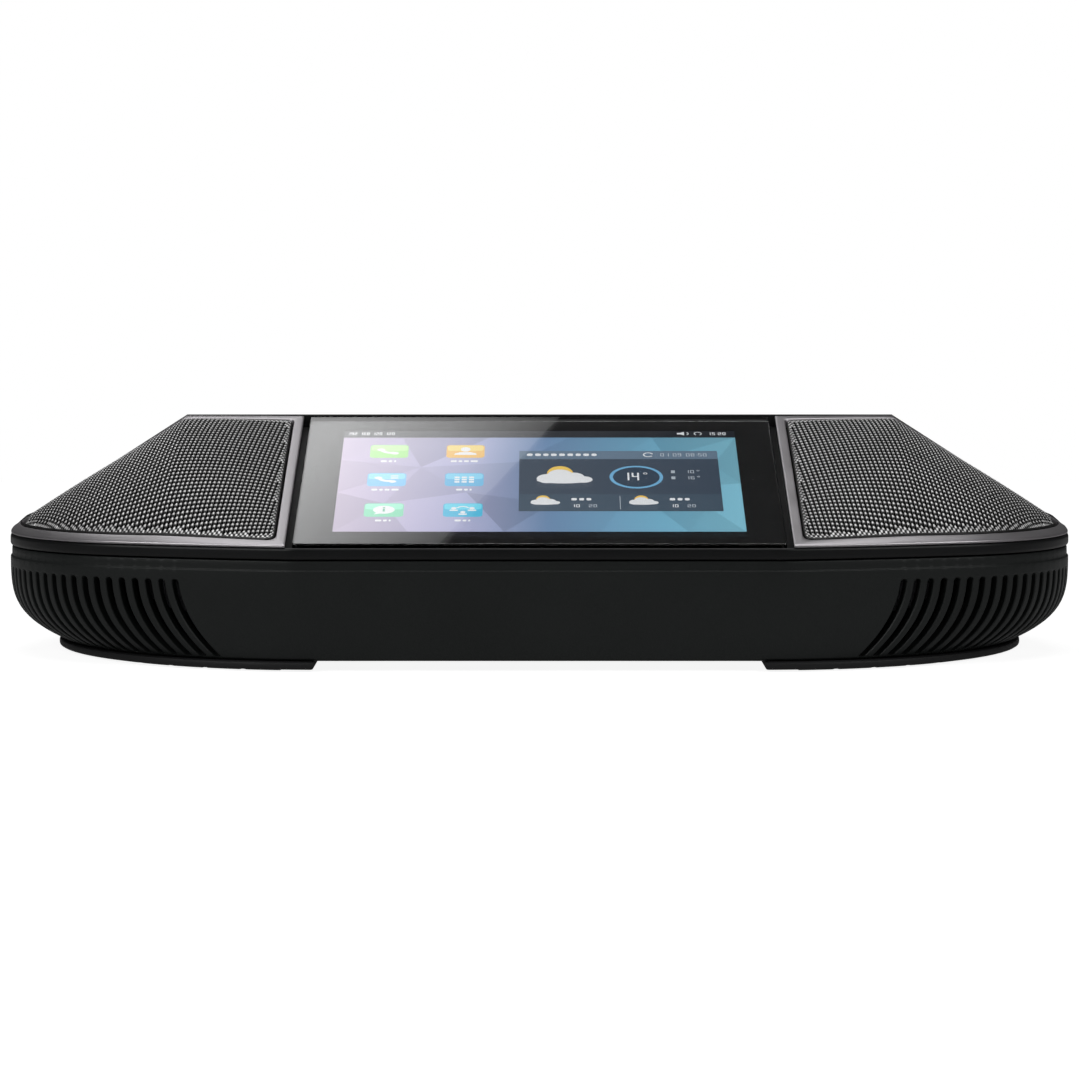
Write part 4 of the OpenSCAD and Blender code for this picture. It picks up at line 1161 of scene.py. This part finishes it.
def socket_details():
    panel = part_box("port_panel")[0].y / MM
    pins, lamps = Build(), Build()
    for node in ("lan_port", "pc_port"):
        low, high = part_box(node)
        cx, z0, y1 = (low.x + high.x) / 2 / MM, low.z / MM, high.y / MM
        for i in range(8):
            x = cx + (i - 3.5) * 1.02
            pins.box((x - 0.16, y1 - 8.6, z0 + 10.35), (x + 0.16, y1 - 1.6, z0 + 10.7), 0.04)
            pins.box((x - 0.16, y1 - 8.6, z0 + 8.6), (x + 0.16, y1 - 8.3, z0 + 10.5), 0.04)
        for s in (-1, 1):
            x = cx + s * 6.6
            lamps.box((x - 1.0, y1 - 0.6, z0 + 11.7), (x + 1.0, y1 + 0.12, z0 + 12.7), 0.12)
    low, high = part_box("usb_port")
    cx, z0, y1 = (low.x + high.x) / 2 / MM, low.z / MM, high.y / MM
    for i in range(4):
        x = cx + (i - 1.5) * 2.3
        pins.box((x - 0.5, y1 - 10.0, z0 + 4.14), (x + 0.5, y1 - 2.6, z0 + 4.32), 0.04)
    pins.piece("socket_contacts", contact_gold, slot="plated_steel")
    lamps.piece("socket_lamps", lamp_lens, slot="connector_plastic")
    # raised marks over each socket: arrows, a fork and a plug sign, no writing
    signs = Build()
    y = panel + 1.6
    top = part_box("port_panel")[0].z / MM + 16.9

    def bar(x0, z0, x1, z1):
        signs.box((x0, y - 0.02, z0), (x1, y + 0.16, z1), 0.05)

    for cx, n in ((-33, 3), (-14, 1)):
        for i in range(n):
            bar(cx - 1.6 + 1.4 * i - 0.25, top, cx - 1.6 + 1.4 * i + 0.25, top + 0.9)
        bar(cx - 2.2, top - 0.5, cx + 1.8, top - 0.2)
    for cx in (5, 19, 33):
        bar(cx - 1.4, top - 0.1, cx + 1.4, top + 0.2)
        bar(cx - 0.2, top - 0.5, cx + 0.2, top + 0.9)
    signs.piece("socket_signs", lead_sleeve, slot="lead_plastic")


# ---- build everything

lower_housing()
upper_housing()
for side in (-1, 1):
    trim(side)
    grille(side)
    cloth(side)
    front_foot(side)
rear_foot()
display()
socket_details()

for mat, nodes in CARRIED:
    for node in nodes.split():
        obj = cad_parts[node]
        obj.data.materials.clear()
        obj.data.materials.append(mat)
        if node in BEVELLED:
            bevel = obj.modifiers.new("edges", "BEVEL")
            bevel.width = BEVELLED[node] * MM
            bevel.segments = 2
            bevel.limit_method = "ANGLE"
            bevel.angle_limit = math.radians(40)

# ---- light, floor and camera


def by_ray(tree, socket, lit, seen):
    """One strength for the light that is given and another for what the camera sees."""
    ray = add_node(tree, "LightPath").outputs["Is Camera Ray"]
    feed(tree, socket, add_node(tree, "MapRange", Value=ray, To_Min=lit, To_Max=seen))


def area_light(name, place, target, size, power):
    data = bpy.data.lights.new(name, "AREA")
    data.shape = "RECTANGLE"
    data.size = size
    data.size_y = size
    data.energy = power
    obj = place_in_scene(name, data)
    obj.location = place
    obj.rotation_euler = (Vector(target) - Vector(place)).to_track_quat("-Z", "Y").to_euler()


def quad(name, corners, mat):
    """One flat face of the set."""
    mesh = bpy.data.meshes.new(name)
    mesh.from_pydata(corners, [], [(0, 1, 2, 3)])
    mesh.materials.append(mat)
    return place_in_scene(name, mesh)


scene.view_settings.view_transform = "Standard"
scene.view_settings.look = "None"
world = bpy.data.worlds.new("studio")
scene.world = world
world.use_nodes = True
background = world.node_tree.nodes["Background"]
background.inputs["Color"].default_value = (1.0, 1.0, 1.0, 1)
by_ray(world.node_tree, background.inputs["Strength"], 0.035, 1.0)

area_light("key_left", (-0.75, -0.75, 0.75), (0, 0, 0.02), 0.6, 4.2)
area_light("key_right", (0.8, -0.6, 0.7), (0, 0, 0.02), 0.5, 2.8)
area_light("top", (0, 0.1, 1.1), (0, 0, 0.03), 0.9, 4.5)

FLOOR_HALF = 1.6
FLOOR_BACK = 0.7
FLOOR_LEVEL = -1e-4
paper = material("floor_paper", (0.36, 0.36, 0.36), 0.8, mottle=0.01, grain=(300, 0.02),
                 emission=1.0, specular=0.1)
by_ray(paper.node_tree,
       paper.node_tree.nodes["Principled BSDF"].inputs["Emission Strength"], 0.25, 2.5)
floor = quad("studio_floor", [(x, y, FLOOR_LEVEL) for x, y in (
    (-FLOOR_HALF, -FLOOR_HALF), (FLOOR_HALF, -FLOOR_HALF), (FLOOR_HALF, FLOOR_BACK),
    (-FLOOR_HALF, FLOOR_BACK))], paper)

# A softbox above and behind, whose slanting edge shows in the left of the glass
card_light = bpy.data.materials.new("softbox_light")
card_light.use_nodes = True
tree = card_light.node_tree
tree.nodes.remove(tree.nodes["Principled BSDF"])
across = add_node(tree, "VectorMath")
across.operation = "DOT_PRODUCT"
feed(tree, across.inputs[0], add_node(tree, "TexCoord").outputs["Object"])
feed(tree, across.inputs[1], (1.0, -0.6947, 0.6336))
fade = add_node(tree, "MapRange", Value=across.outputs["Value"], From_Min=-0.0842,
                From_Max=0.0158, To_Min=2.0, To_Max=0.34)
glow = add_node(tree, "Emission", Strength=fade)
feed(tree, tree.nodes["Material Output"].inputs["Surface"], glow)
away = np.array([0.0, 0.674, 0.739])
up_card = np.array([0.0, 0.739, -0.674])
centre = np.array([0.0, -0.028, 0.042]) + 0.8 * away
card = quad("softbox", [tuple(centre + up_card * v + np.array([x, 0, 0])) for x, v in (
    (-0.40, -0.05), (-0.0772, -0.05), (0.0543, 0.09), (-0.40, 0.09))], card_light)
card.visible_diffuse = False
card.visible_shadow = False
card.visible_camera = False

camera_data = bpy.data.cameras.new("camera")
camera_data.lens = 114.1
camera_data.sensor_width = 36
camera_data.clip_start = 0.05
camera_data.clip_end = 50
camera = place_in_scene("camera", camera_data)
camera.location = (0, (FRONT - 766.7) * MM, 0.0863)
camera.rotation_euler = (math.radians(85.8), 0, 0)
scene.camera = camera
